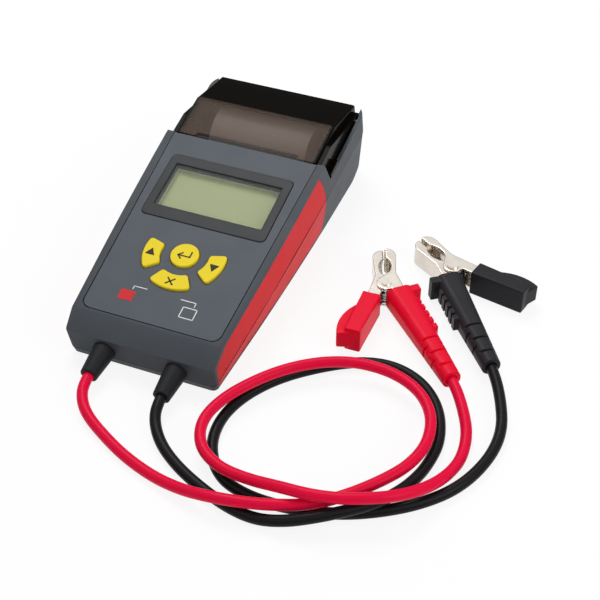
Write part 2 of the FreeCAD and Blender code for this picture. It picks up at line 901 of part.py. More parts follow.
def make_upper_case(bosses, tools):
    outer = upper_block("upper_outer", "0")
    shell = common("upper_shell", outer, side_prism("upper_side", upper_profile()))
    front_side = box_path("front_wall", "cover_front + cover_rake", "0 - case_reach", "0 - deck_thick")
    front_room = common(
        "front_room", upper_block("front_room_plan", "side_wall"), side_prism("front_room_side", front_side)
    )
    bay_side = box_path("cover_front", "case_length", "0 - case_reach", "case_reach")
    bay = common("bay_room", upper_block("bay_plan", "bay_wall"), side_prism("bay_side", bay_side))
    rear_path = box_path(
        "case_length - tail_radius", "case_length + front_wall", "0 - rear_bar_drop", "0"
    )
    rear_opening = side_prism("rear_opening", rear_path, "2 * (cover_half + cover_gap)")
    hollow = cut("upper_hollow", shell, front_room, bay, rear_opening)
    across = "board_half - board_post_inset"
    posts = plan_prism(
        "board_posts", BOARD_TOP, "holder_lip + lcd_thick + deck_thick / 2",
        circles=[
            (f"{sign} * ({across})", station, "board_post_radius")
            for sign in ("(-1)", "1")
            for station in (
                "board_near + board_post_inset", "board_far - board_post_inset"
            )
        ],
    )
    filled = fuse("upper_filled", hollow, common("upper_bosses", bosses, shell), posts)
    recess = plan_prism(
        "panel_recess", "0 - panel_thick", "2 * panel_thick",
        panel_path("panel_gap", "cover_front + cover_rake"),
    )
    window = plan_prism(
        "window_hole", "0 - 2 * deck_thick", "2 * deck_thick", window_path("0 - window_ledge")
    )
    upper = cut("upper_case", filled, recess, window, *tools)
    keep("upper_case", upper, FACE)


def make_lower_case(bosses, tools):
    outer = lower_block("lower_outer", "0")
    shell_side = side_prism("lower_side", lower_profile("(0 - front_wall)", "front_wall", "0"))
    shell = common("lower_shell", outer, shell_side)
    room_side = side_prism("lower_room_side", lower_profile("front_wall", "side_wall", "floor_wall"))
    room = common("lower_room", lower_block("lower_room_plan", "side_wall", "floor_wall"), room_side)
    hollow = cut("lower_hollow", shell, room)
    filled = fuse("lower_filled", hollow, common("lower_bosses", bosses, shell))
    keep("lower_case", cut("lower_case", filled, *tools), FACE)


def make_case():
    recesses = make_trims()
    key_holes = make_keys()
    screw_holes = make_screws()
    boot_holes = make_boots()
    pin_holes = pin_rods("pin_hole", "hinge_fit")
    bosses = plan_prism(
        "screw_bosses", "0 - case_reach", "case_reach",
        circles=[(x, y, "boss_radius") for x, y in screw_spots()],
    )
    make_upper_case(bosses, key_holes + screw_holes + boot_holes + pin_holes + recesses["upper"])
    make_lower_case(bosses, screw_holes + recesses["lower"])
    bezel_hole = plan_prism("bezel_hole", "0 - 2 * panel_thick", "3 * panel_thick", bezel_path("window_fit"))
    panel = plan_prism(
        "front_panel_plate", "0 - panel_thick", "panel_thick", panel_path("0", "cover_front - panel_gap")
    )
    keep("front_panel", cut("front_panel", panel, bezel_hole, *key_holes), FACE)
    keep("cover_hinge_pins", group("cover_hinge_pins", pin_rods("hinge_pin", "0")), FACE)


def make_display():
    bezel = Solid("display_bezel")
    plan = bezel.sketch("XY", bezel_path("0"), window_path("window_fit"), shift="0 - panel_thick")
    bezel.pad(plan, "panel_thick + bezel_rise")
    keep("display_bezel", bezel.body, FACE)
    window = plan_prism("display_window", "0 - panel_thick", "window_thick", window_path("0"))
    keep("display_window", window, FACE)
    holder = Solid("lcd_frame")
    plan = holder.sketch("XY", window_path("holder_margin"), window_path("0 - window_ledge"), shift=BOARD_TOP)
    holder.pad(plan, "holder_lip + lcd_thick")
    seat = holder.sketch("XY", window_path("lcd_margin"), shift=BOARD_TOP)
    holder.pocket(seat, "lcd_thick", flip=True)
    keep("lcd_frame", holder.body, FACE)
    lcd = plan_prism("lcd_panel", BOARD_TOP, "lcd_thick", window_path("lcd_margin - window_fit"))
    keep("lcd_panel", lcd, FACE)
    board = plan_prism(
        "main_board", f"{BOARD_TOP} - board_thick", "board_thick",
        box_path("0 - board_half", "board_half", "board_near", "board_far"),
    )
    keep("main_board", board, FACE)
    reach = "(key_ring_outer + mat_margin)"
    mat = plan_prism(
        "keypad_mat", BOARD_TOP, "mat_thick",
        rounded_path(
            f"0 - {reach}", reach, f"key_station - {reach}",
            "key_station + key_radius + mat_margin", "mat_margin",
        ),
    )
    keep("keypad_mat", mat, FACE)


def cover_path(wall, drop, crease, back_drop, foot):
    """Side view of one step of the cover, drawn in by wall: flat front, sloped back."""
    front = f"(cover_front + cover_gap + {wall})"
    rake = f"({foot}) * cover_rake / sill_drop"
    return [
        (front, f"0 - {drop} - {wall}"),
        (f"{crease} - {wall} / 2", f"0 - {drop} - {wall}"),
        (f"cover_back - {wall}", f"0 - {back_drop} - {wall}"),
        (f"cover_back - {wall}", f"0 - {foot}"),
        (f"{front} + {rake}", f"0 - {foot}"),
    ]


def make_cover():
    """Smoked cover: a raised crown on a wider shoulder, hollow below, with ears for the hinge."""
    shoulder = side_prism(
        "cover_shoulder",
        cover_path(
            "0", "cover_shoulder_drop", "cover_shoulder_crease",
            "cover_shoulder_back_drop", "cover_skirt_drop",
        ),
        "2 * cover_half",
    )
    crown = Solid("cover_crown")
    crown_path = cover_path("0", "0", "cover_crease", "cover_back_drop", "cover_skirt_drop")
    crown.pad(crown.sketch("YZ", crown_path), "2 * cover_crown_half", both=True)
    crown_edge = size("cover_crown_half")
    crown_low = -size("cover_back_drop")
    crown.fillet(
        "cover_edge",
        lambda edge: abs(abs(edge.CenterOfMass.x) - crown_edge) < SNAP
        and edge.CenterOfMass.z > crown_low and edge.BoundBox.YLength > crown_edge / 2,
    )
    ears = side_prism(
        "cover_ears",
        box_path("cover_back - cover_ear_length", "cover_back", "0 - cover_ear_drop", "0 - cover_skirt_drop"),
        "2 * cover_half",
    )
    whole = fuse("cover_whole", shoulder, crown.body, ears)
    deep = "2 * cover_ear_drop"
    crown_room = side_prism(
        "cover_crown_room",
        cover_path("cover_wall", "0", "cover_crease", "cover_back_drop", deep),
        "2 * (cover_crown_half - cover_wall)",
    )
    shoulder_room = side_prism(
        "cover_shoulder_room",
        cover_path(
            "cover_wall", "cover_shoulder_drop", "cover_shoulder_crease", "cover_shoulder_back_drop", deep
        ),
        "2 * (cover_half - cover_wall)",
    )
    front = "cover_front + cover_gap"
    mouth = side_prism(
        "cover_mouth",
        box_path(f"{front} - cover_wall", "cover_shoulder_crease", f"0 - {deep}", "0 - cover_lip_drop"),
        "2 * (cover_half - cover_wall)",
    )
    slot = side_prism(
        "paper_slot",
        box_path(f"{front} - cover_wall", f"{front} + slot_depth", "0 - 2 * cover_lip_drop", "cover_wall"),
        "2 * slot_half",
    )
    hinge = cross_rod(
        "cover_hinge_bore", "0 - case_reach", "2 * case_reach",
        "hinge_station", "hinge_drop", "hinge_radius + hinge_fit",
    )
    hollow = cut("cover_hollow", whole, crown_room, shoulder_room, mouth, slot, hinge)
    tab_path = box_path(
        "tab_front", "tab_front + tab_length", "0 - tab_drop - tab_thick", "0 - tab_drop"
    )
    tabs = side_prism("cover_tabs", tab_path, "2 * tab_reach")
    gap = side_prism("cover_tab_gap", tab_path, "2 * (cover_half - cover_wall)")
    keep("printer_cover", fuse("printer_cover", hollow, cut("cover_tab_pair", tabs, gap)), FACE)


def make_paper():
    roll_length = "2 * roll_half"
    axis = ("roll_station", "roll_drop")
    roll = cross_rod("paper_roll", "0 - roll_half", roll_length, *axis, "roll_radius", "core_radius")
    keep("paper_roll", roll, FACE)
    core = cross_rod(
        "paper_core", "0 - roll_half", roll_length, *axis, "core_radius", "core_radius - core_wall"
    )
    keep("paper_core", core, FACE)
    cradle = Solid("paper_cradle")
    inner = "(roll_radius + cradle_gap)"
    outer = "(roll_radius + cradle_gap + cradle_wall)"

    def rim(radius, sign):
        return (
            f"roll_station + {sign} * {radius} * cos(cradle_rim)",
            f"0 - roll_drop - {radius} * sin(cradle_rim)",
        )

    def lowest(radius):
        return "roll_station", f"0 - roll_drop - {radius}"

    side = "(roll_half + cradle_side_gap)"
    trough = [
        rim(inner, "(-1)"),
        lowest(inner) + rim(inner, "1"),
        rim(outer, "1"),
        lowest(outer) + rim(outer, "(-1)"),
    ]
    cradle.pad(cradle.sketch("YZ", trough), f"2 * ({side} + cradle_wall)", both=True)
    end = [rim(outer, "(-1)"), lowest(outer) + rim(outer, "1")]
    cradle.pad(cradle.sketch("YZ", end, shift=side), "cradle_wall")
    cradle.pad(cradle.sketch("YZ", end, shift=f"0 - {side}"), "cradle_wall", flip=True)
    near = "(roll_station - cradle_foot_length / 2)"
    far = "(roll_station + cradle_foot_length / 2)"
    foot_top = f"0 - roll_drop - {inner} - cradle_wall / 2"
    foot = [(near, floor_line(near)), (far, floor_line(far)), (far, foot_top), (near, foot_top)]
    cradle.pad(cradle.sketch("YZ", foot, shift="cradle_foot_half"), "cradle_foot_thick")
    cradle.pad(cradle.sketch("YZ", foot, shift="0 - cradle_foot_half"), "cradle_foot_thick", flip=True)
    keep("paper_cradle", cradle.body, FACE)


IDLER_DROP = "(platen_drop + gear_module * (platen_teeth + idler_teeth) / 2)"
PINION_DROP = f"({IDLER_DROP} + gear_module * (idler_teeth + pinion_teeth) / 2)"
GEAR_START = "(frame_inner + frame_thick + gear_gap)"


def make_printer_frame():
    frame = Solid("printer_frame")
    near = "(platen_station - frame_foot_length / 2)"
    far = "(platen_station + frame_foot_length / 2)"
    front = "platen_station - frame_front_reach"
    rear = "platen_station + frame_rear_reach"
    plate = [
        (near, floor_line(near)),
        (far, floor_line(far)),
        (rear, "0 - frame_waist_drop"),
        (rear, "0 - frame_top_drop"),
        (front, "0 - frame_top_drop"),
        (front, "0 - frame_waist_drop"),
    ]
    bar = box_path(near, far, "0 - frame_waist_drop - frame_bar_thick", "0 - frame_waist_drop")
    frame.pad(frame.sketch("YZ", bar), "2 * (frame_inner + frame_thick)", both=True)
    holes = [
        ("platen_station", "0 - platen_drop", "platen_shaft_radius + shaft_fit"),
        ("platen_station", f"0 - {PINION_DROP}", "motor_shaft_radius + spindle_clearance"),
    ]
    frame.pad(frame.sketch("YZ", plate, circles=holes, shift="frame_inner"), "frame_thick")
    frame.pad(frame.sketch("YZ", plate, circles=holes, shift="0 - frame_inner"), "frame_thick", flip=True)
    stud = [("platen_station", f"0 - {IDLER_DROP}", "idler_pin_radius")]
    stud_length = "frame_thick + 2 * gear_gap + gear_thick"
    frame.pad(frame.sketch("YZ", circles=stud, shift="frame_inner"), stud_length)
    keep("printer_frame", frame.body, FACE)


def gear(name, teeth, bore=None):
    """Spur gear on the x axis, with its first tooth upwards."""
    wheel = Solid(name)
    pitch = f"(gear_module * {teeth} / 2)"
    root = f"({pitch} - tooth_dip * gear_module)"
    tip = f"({pitch} + tooth_rise * gear_module)"
    half = "(tooth_share * pi * gear_module / 2)"
    circles = [("0", "0", root)]
    if bore:
        circles.append(("0", "0", bore))
    wheel.pad(wheel.sketch("YZ", circles=circles, shift=GEAR_START), "gear_thick")
    flank = [
        (f"0 - {half} * tooth_flare", f"{root} - tooth_sink"),
        (f"{half} * tooth_flare", f"{root} - tooth_sink"),
        (half, pitch),
        (f"{half} * tooth_narrow", tip),
        (f"0 - {half} * tooth_narrow", tip),
        (f"0 - {half}", pitch),
    ]
    tooth = wheel.pad(wheel.sketch("YZ", flank, shift=GEAR_START), "gear_thick")
    wheel.ring_pattern(tooth, "X", teeth)
    return wheel


def gear_placement(drop, turn):
    middle = Vector(0, size("platen_station"), -size(drop))
    return FACE.multiply(Placement(middle, Rotation(Vector(1, 0, 0), size(turn))))


def make_mechanism():
    """Thermal printer under the deck: platen, head, motor and the train between them."""
    make_printer_frame()
    head_near = "platen_station + platen_radius + head_gap"
    head = side_prism(
        "thermal_head",
        box_path(
            head_near, f"{head_near} + head_thick", "0 - head_top_drop - head_height", "0 - head_top_drop"
        ),
        "2 * frame_inner",
    )
    keep("thermal_head", head, FACE)
    motor = cross_rod(
        "feed_motor", "frame_inner - motor_length", "motor_length", "platen_station", PINION_DROP,
        "motor_radius", "motor_shaft_radius + shaft_fit",
    )
    keep("feed_motor", motor, FACE)
    platen = ("platen_station", "platen_drop")
    shaft_start = f"0 - {GEAR_START}"
    shaft = cross_rod(
        "platen_shaft", shaft_start, f"2 * {GEAR_START} + gear_thick", *platen, "platen_shaft_radius"
    )
    keep("platen_shaft", shaft, FACE)
    roller = cross_rod(
        "platen_roller", "0 - platen_half", "2 * platen_half", *platen, "platen_radius", "platen_shaft_radius"
    )
    keep("platen_roller", roller, FACE)
    platen_gear = gear("platen_gear", "platen_teeth", "platen_shaft_radius")
    keep("platen_gear", platen_gear.body, gear_placement("platen_drop", "0"))
    idler = gear("idler_gear", "idler_teeth", "idler_pin_radius + shaft_fit")
    keep("idler_gear", idler.body, gear_placement(IDLER_DROP, "180 / idler_teeth"))
    pinion = gear("motor_pinion", "pinion_teeth")
    start = "frame_inner - motor_shaft_depth"
    spindle = pinion.sketch("YZ", circles=[("0", "0", "motor_shaft_radius")], shift=start)
    pinion.pad(spindle, f"{GEAR_START} - ({start})")
    keep("motor_pinion", pinion.body, gear_placement(PINION_DROP, "0"))


def handle_spot(along, outward):
    """Point of the fixed lever's handle, from its distances along the handle and out of it."""
    across = f"({along}) * sin(handle_splay) + ({outward}) * cos(handle_splay)"
    height = f"({outward}) * sin(handle_splay) - ({along}) * cos(handle_splay)"
    return across, height


def lever_path():
    """Plan of a lever: toothed jaw, round lobe at the pivot, straight handle."""
    lobe_start = handle_spot("sqrt(lobe_radius ^ 2 - tang_inner ^ 2)", "tang_inner")
    lobe_end = ("lobe_radius * cos(lobe_end)", "lobe_radius * sin(lobe_end)")
    teeth_start = f"(jaw_reach - {JAW_TEETH} * jaw_tooth_pitch)"
    valley = "jaw_gap + jaw_tooth_depth"
    path = [
        ("jaw_nose_half", "jaw_nose", "jaw_half", "jaw_shoulder"),
        ("jaw_waist_half", "jaw_waist"),
        handle_spot("tang_root", "tang_outer"),
        handle_spot("tang_length", "tang_outer"),
        handle_spot("tang_length", "tang_inner"),
        lobe_start,
        ("0 - lobe_radius", "0") + lobe_end,
        ("jaw_root_half", "jaw_root"),
        ("jaw_throat", "jaw_throat_station", valley, teeth_start),
    ]
    for tooth in range(JAW_TEETH):
        base = f"{teeth_start} + {tooth} * jaw_tooth_pitch"
        path.append(("jaw_gap", f"{base} + jaw_tooth_pitch / 2"))
        path.append((valley, f"{base} + jaw_tooth_pitch"))
    return path


def make_lever(name, hole):
    """Folded steel lever: two plates joined by a web along the outer edge."""
    lever = Solid(name)
    plan = lever.sketch("XY", lever_path(), circles=[("0", "0", hole)], shift="0 - lever_low")
    lever.pad(plan, "lever_low + lever_top")
    inside = "(tang_outer - plate_thick)"
    past = "2 * tang_length"
    channel = [
        ("jaw_half - plate_thick", "jaw_shoulder"),
        ("jaw_waist_half - plate_thick", "jaw_waist"),
        handle_spot("tang_root", inside),
        handle_spot(past, inside),
        handle_spot(past, f"0 - {past}"),
        ("0 - tang_length", "jaw_nose - plate_thick"),
        ("jaw_nose_half - plate_thick", "jaw_nose - plate_thick"),
    ]
    depth = "lever_low + lever_top - 2 * plate_thick"
    lever.pocket(lever.sketch("XY", channel, shift="lever_top - plate_thick"), depth)
    return lever.body


def make_rivet(name):
    rivet = Solid(name)
    stem = rivet.sketch("XY", circles=[("0", "0", "rivet_radius")], shift="0 - lever_top - rivet_fit")
    rivet.pad(stem, "2 * lever_top + rivet_fit")
    head = rivet.sketch("XY", circles=[("0", "0", "rivet_head_radius")], shift="0 - lever_top - rivet_fit")
    rivet.pad(head, "rivet_head_thick", flip=True)
    tail = rivet.sketch("XY", circles=[("0", "0", "rivet_tail_radius")], shift="lever_top")
    rivet.pad(tail, "rivet_tail_thick")
    return rivet.body


def arc_between(start, corner, end):
    """Arc from start to end, tangent to the lines to the corner between them."""
    middle = (start + end) * 0.5
    half_chord = (end - start).Length / 2
    half_turn = math.acos(min(1, half_chord / (corner - start).Length))
    rise = half_chord * math.tan(half_turn / 2)
    top = middle + (corner - middle).normalize() * rise
    return Part.Arc(start, top, end).toShape()


def biarc(start, heading, end, ending):
    """Two arcs that leave start along heading and reach end along ending."""
    chord = end - start
    spread = 2 * (1 - heading.dot(ending))
    lean = chord.dot(heading + ending)
    reach = (math.sqrt(lean ** 2 + spread * chord.dot(chord)) - lean) / spread
    first = start + heading * reach
    last = end - ending * reach
    joint = (first + last) * 0.5
    return [arc_between(start, first, joint), arc_between(joint, last, end)]


def tube(edges, radius):
    """Round tube along a wire, with its volume compared to section times length."""
    wire = Part.Wire(edges)
    start = edges[0].Vertexes[0].Point
    heading = edges[0].tangentAt(edges[0].FirstParameter)
    section = Part.Wire([Part.makeCircle(radius, start, heading)])
    solid = wire.makePipeShell([section], True)
    share = solid.Volume / (math.pi * radius ** 2 * wire.Length)
    return solid, wire, share


def self_gap(wire, thickness, apart):
    """Least gap of a bent wire to itself, between points that lie at least apart along it."""
    points = wire.discretize(Number=GAP_POINTS)
    skip = math.ceil(apart * GAP_POINTS / wire.Length)
    nearest = min(
        (first - second).Length
        for number, first in enumerate(points)
        for second in points[number + skip:]
    )
    return nearest - thickness


def make_spring(name):
    """Torsion spring round the rivet, with a straight leg along each handle."""
    radius = size("spring_radius")
    splay = math.radians(size("handle_splay"))
    begin = math.pi - splay
    total = begin - splay + 2 * math.pi * SPRING_TURNS
    climb = size("spring_pitch") / (2 * math.pi)

    def place(turned):
        angle = begin - turned
        height = climb * (turned - total / 2)
        return Vector(radius * math.cos(angle), radius * math.sin(angle), height)

    def heading(turned):
        angle = begin - turned
        return Vector(radius * math.sin(angle), -radius * math.cos(angle), climb).normalize()

    pieces = math.ceil(total / (math.pi / 2))
    stops = [total * step / pieces for step in range(pieces + 1)]
    leg = size("spring_leg")
    edges = [Part.LineSegment(place(0) - heading(0) * leg, place(0)).toShape()]
    for before, after in zip(stops, stops[1:]):
        edges += biarc(place(before), heading(before), place(after), heading(after))
    edges.append(Part.LineSegment(place(total), place(total) + heading(total) * leg).toShape())
    thickness = size("spring_wire")
    solid, wire, share = tube(edges, thickness / 2)
    gap = self_gap(wire, thickness, math.pi * radius)
    print(f"{name}: length {wire.Length:.1f}, volume share {share:.4f}, least gap to itself {gap:.2f}")
    item = doc.addObject("Part::Feature", name)
    item.Shape = solid
    return item


def make_sleeve(name):
    """Long moulded sleeve of the cable handle, with guard, finger ridges and a slotted tail."""
    sleeve = Solid(name)
    left = "sleeve_offset - sleeve_width / 2"
    right = "sleeve_offset + sleeve_width / 2"
    end_left = "sleeve_offset - sleeve_end_width / 2"
    end_right = "sleeve_offset + sleeve_end_width / 2"
    end = "(sleeve_start + sleeve_length)"
    mouth = sleeve.sketch(
        "XZ", rounded_path(left, right, "0 - sleeve_height / 2", "sleeve_height / 2", "sleeve_corner"),
        shift="sleeve_start",
    )
    tail = sleeve.sketch(
        "XZ",
        rounded_path(
            end_left, end_right, "0 - sleeve_end_width / 2", "sleeve_end_width / 2", "sleeve_end_corner"
        ),
        shift=end,
    )
    sleeve.loft(mouth, tail)
    guard = box_path("sleeve_offset", "guard_reach", "0 - guard_height", "guard_height")
    sleeve.pad(sleeve.sketch("XZ", guard, shift="sleeve_start"), "guard_thick")
    for number in range(RIDGES):
        ridge = box_path("sleeve_offset", "ridge_rise", "0 - ridge_half", "ridge_half")
        place = f"ridge_start + {number} * ridge_pitch"
        sleeve.pad(sleeve.sketch("XZ", ridge, shift=place), "ridge_length")
    far_left = "sleeve_offset - sleeve_width"
    far_right = "sleeve_offset + sleeve_width"
    below = "0 - sleeve_width"
    above = "sleeve_width"
    side_slots = [
        box_path("sleeve_offset + relief_core", far_right, below, above),
        box_path(far_left, "sleeve_offset - relief_core", below, above),
    ]
    face_slots = [
        box_path(far_left, far_right, "relief_core", above),
        box_path(far_left, far_right, below, "0 - relief_core"),
    ]
    for number in range(RELIEF_RINGS):
        slots = side_slots if number % 2 else face_slots
        place = f"relief_start + {number} * relief_pitch"
        sleeve.pocket(sleeve.sketch("XZ", *slots, shift=place), "relief_width", flip=True)
    tang = box_path(
        "tang_inner - sleeve_fit", "tang_outer + sleeve_fit",
        "0 - lever_low - sleeve_fit", "lever_top + sleeve_fit",
    )
    sleeve.pocket(sleeve.sketch("XZ", tang, shift="sleeve_start"), "tang_length - sleeve_start", flip=True)
    bore = ("sleeve_offset", "0", "lead_radius + lead_fit")
    sleeve.pocket(sleeve.sketch("XZ", circles=[bore], shift=end), "lead_entry")
    return sleeve.body


def make_grip(name):
    """Short grip of the other handle, with a thumb fin."""
    grip = Solid(name)
    outline = [
        ("grip_inner", "0 - grip_start"),
        ("0 - grip_outer", "0 - grip_start"),
        ("0 - grip_outer", "0 - grip_end"),
        ("0 - grip_end_inner", "0 - grip_end"),
    ]
    grip.pad(grip.sketch("XY", outline), "2 * grip_half", both=True)
    fin = [
        ("0 - grip_outer / 2", "0 - fin_start"),
        ("0 - grip_outer", "0 - fin_start"),
        ("0 - fin_reach", "0 - fin_middle", "0 - fin_end_reach", "0 - fin_end"),
        ("0 - grip_outer / 2", "0 - grip_end"),
    ]
    grip.pad(grip.sketch("XY", fin), "2 * fin_half", both=True)
    tang = box_path(
        "0 - tang_outer - sleeve_fit", "sleeve_fit - tang_inner",
        "0 - lever_top - sleeve_fit", "lever_low + sleeve_fit",
    )
    grip.pocket(grip.sketch("XZ", tang, shift="grip_start"), "tang_length - grip_start", flip=True)
    return grip.body


def clip_placement(color):
    middle = Vector(size(f"{color}_clip_across"), size(f"{color}_clip_along"), size("clip_height"))
    turn = Placement(middle, Rotation(Vector(0, 0, 1), size(f"{color}_clip_turn")))
    if color == "black":
        return turn.multiply(FLIP)
    return turn


def handle_turn(side):
    return Placement(Vector(), Rotation(Vector(0, 0, 1), side * size("handle_splay")))


def make_clip(color):
    """Spring clip: two equal levers, one flipped onto the other, on a rivet."""
    clip = clip_placement(color)
    name = f"{color}_clip"
    fixed = make_lever(f"{name}_fixed_jaw", "rivet_radius")
    moving = make_lever(f"{name}_moving_jaw", "rivet_radius + rivet_fit")
    keep(f"{name}_fixed_jaw", fixed, clip)
    keep(f"{name}_moving_jaw", moving, clip.multiply(FLIP))
    keep(f"{name}_rivet", make_rivet(f"{name}_rivet"), clip)
    keep(f"{name}_spring", make_spring(f"{name}_spring"), clip)
    keep(f"{name}_sleeve", make_sleeve(f"{name}_sleeve"), clip.multiply(handle_turn(1)))
    keep(f"{name}_grip", make_grip(f"{name}_grip"), clip.multiply(handle_turn(-1)))


def lead_points(color):
    """Whole route of a lead: from the bore of its boot to the bore of its clip's sleeve."""
    boot = FACE.multiply(boot_placement(BOOT_SIDES[f"{color}_lead_boot"]))
    tip = -size("boot_length")
    entry = size("lead_entry")
    exit_run = size("lead_exit")
    sleeve = clip_placement(color).multiply(handle_turn(1))
    offset = size("sleeve_offset")
    end = -size("sleeve_start + sleeve_length")
    leaving = [Vector(0, tip + entry, 0), Vector(0, tip - exit_run, 0)]
    arriving = [Vector(offset, end - exit_run, 0), Vector(offset, end + entry, 0)]
    route = [boot.multVec(point) for point in leaving]
    route += [Vector(*point) for point in LEAD_ROUTES[color]]
    route += [sleeve.multVec(point) for point in arriving]
    return route


def make_lead(color):
    """Lead along straight runs joined by arcs as large as the runs allow."""
    route = lead_points(color)
    edges = []
    radii = []
    reached = route[0]
    for before, corner, after in zip(route, route[1:], route[2:]):
        inward = corner - before
        outward = after - corner
        trim = ARC_SHARE * min(inward.Length, outward.Length)
        radii.append(trim / math.tan(inward.getAngle(outward) / 2))
        start = corner - inward.normalize() * trim
        end = corner + outward.normalize() * trim
        edges.append(Part.LineSegment(reached, start).toShape())
        edges.append(arc_between(start, corner, end))
        reached = end
    edges.append(Part.LineSegment(reached, route[-1]).toShape())
    solid, wire, share = tube(edges, size("lead_radius"))
    print(f"{color}_lead: length {wire.Length:.0f}, volume share {share:.4f}, radii",
          " ".join(f"{radius:.0f}" for radius in radii))
    item = doc.addObject("Part::Feature", f"{color}_lead")
    item.Shape = solid
    keep(f"{color}_lead", item, Placement())


def check_document():
    for item in doc.Objects:
        if {"Invalid", "Error"} & set(item.State):
            raise RuntimeError(f"{item.Name} failed: {item.State}")
    for name, item in nodes.items():
        if item.Shape.isNull() or not item.Shape.isValid():
            raise RuntimeError(f"{name} has no valid shape")
        if not item.Shape.Solids:
            raise RuntimeError(f"{name} has no solid")


def write_nodes():
    os.makedirs("parts", exist_ok=True)
    for name, item in nodes.items():
        item.Shape.exportStep(f"parts/{name}.step")


fill_sheet()
FACE = face_placement()
make_case()
make_display()
make_cover()
make_paper()
make_mechanism()
for color in ("red", "black"):
    make_clip(color)
    make_lead(color)
doc.recompute()
check_document()
write_nodes()
print(len(nodes), "nodes written")
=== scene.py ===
# %% [markdown]
# A handheld battery tester lies on a white table with its two test leads.
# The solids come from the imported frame, in metres and already in place.
# This lesson adds the camera, the soft leads, rounded edges, small signs, finishes and light.

# %% Load the frame
import json
import math

import bpy
from mathutils import Matrix, Vector

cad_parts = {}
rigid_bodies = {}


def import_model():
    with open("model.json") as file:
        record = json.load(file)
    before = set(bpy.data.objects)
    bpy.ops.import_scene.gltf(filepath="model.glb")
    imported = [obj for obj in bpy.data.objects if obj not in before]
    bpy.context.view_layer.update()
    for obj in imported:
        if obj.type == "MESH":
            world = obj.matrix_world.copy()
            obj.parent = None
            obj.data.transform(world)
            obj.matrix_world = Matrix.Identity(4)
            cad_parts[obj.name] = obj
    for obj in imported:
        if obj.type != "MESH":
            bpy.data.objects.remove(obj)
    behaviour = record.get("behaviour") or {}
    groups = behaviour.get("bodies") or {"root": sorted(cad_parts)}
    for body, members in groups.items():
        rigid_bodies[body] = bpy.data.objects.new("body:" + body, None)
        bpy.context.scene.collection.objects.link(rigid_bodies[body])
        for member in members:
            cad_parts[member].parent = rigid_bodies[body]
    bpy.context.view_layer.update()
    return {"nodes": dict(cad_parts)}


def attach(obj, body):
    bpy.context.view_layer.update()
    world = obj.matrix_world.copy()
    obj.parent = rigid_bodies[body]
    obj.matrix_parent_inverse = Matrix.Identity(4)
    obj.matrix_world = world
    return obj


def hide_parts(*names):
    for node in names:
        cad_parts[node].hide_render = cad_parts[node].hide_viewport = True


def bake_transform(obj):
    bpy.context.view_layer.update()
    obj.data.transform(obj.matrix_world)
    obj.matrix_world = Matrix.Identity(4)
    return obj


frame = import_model()
solids = frame["nodes"]
COLOURS = ("red", "black")
bpy.ops.object.select_all(action="DESELECT")
print("solids", len(solids))

# %% [markdown]
# The photograph looks down on the tester from its front right corner.
# Its view was worked out from the case's edges: a 75 mm lens, 42 degrees above the table.
# A camera is easiest to aim by its direction, which a quaternion turns into a rotation.

# %% Camera
CAMERA_PLACE = Vector((0.2318, -0.4728, 0.4380))
VIEW_DIRECTION = Vector((-0.274, 0.691, -0.669))
LENS_MM = 75
SENSOR_MM = 36
NEAR_CLIP = 0.01

bpy.ops.object.camera_add(location=CAMERA_PLACE)
camera = bpy.context.object
camera.name = "photo_camera"
camera.rotation_euler = VIEW_DIRECTION.to_track_quat("-Z", "Y").to_euler()
camera.data.lens = LENS_MM
camera.data.sensor_width = SENSOR_MM
camera.data.clip_start = NEAR_CLIP
bpy.context.scene.camera = camera
print("camera", tuple(CAMERA_PLACE))

# %% [markdown]
# The leads are soft rubber cable that lies in loose loops on the table.
# A NURBS spline bends as cable does: its control points pull it along without hard corners.
# The points are the route of the solid leads, from the boot on the nose to the clip's sleeve.

# %% Routes of the leads, in millimetres
RED_ROUTE = [
    (-19.5, -111.22, 7.76), (-19.5, -120.16, 6.75), (-17.0, -128.3, 5.2), (-10.0, -136.2, 3.6),
    (3.2, -144.2, 2.8), (18.5, -152.2, 2.8), (36.0, -158.2, 2.8), (52.0, -162.0, 5.4),
    (65.0, -163.8, 9.0), (80.0, -162.0, 9.6), (95.0, -157.6, 9.2), (109.2, -151.6, 9.1),
    (121.6, -141.4, 9.1), (133.2, -128.4, 9.2), (142.4, -114.6, 9.2), (146.2, -99.0, 9.2),
    (143.0, -82.0, 9.2), (133.0, -69.0, 9.2), (118.0, -62.0, 9.2), (101.0, -61.2, 9.2),
    (85.0, -66.2, 9.2), (69.5, -77.0, 9.2), (57.0, -91.6, 9.2), (47.6, -108.2, 9.2),
    (44.2, -124.2, 9.2), (50.2, -139.0, 9.2), (63.5, -147.2, 9.2), (80.0, -149.8, 10.8),
    (95.0, -151.0, 14.0), (108.0, -151.8, 15.8), (120.0, -149.4, 15.8), (131.0, -145.2, 15.8),
    (141.0, -139.6, 15.0), (149.4, -131.2, 12.4), (155.8, -120.4, 8.6), (159.8, -108.2, 4.6),
    (162.0, -96.0, 2.8), (160.4, -82.0, 3.6), (155.0, -70.4, 5.8), (147.06, -57.49, 7.4),
    (141.07, -50.77, 7.4),
]
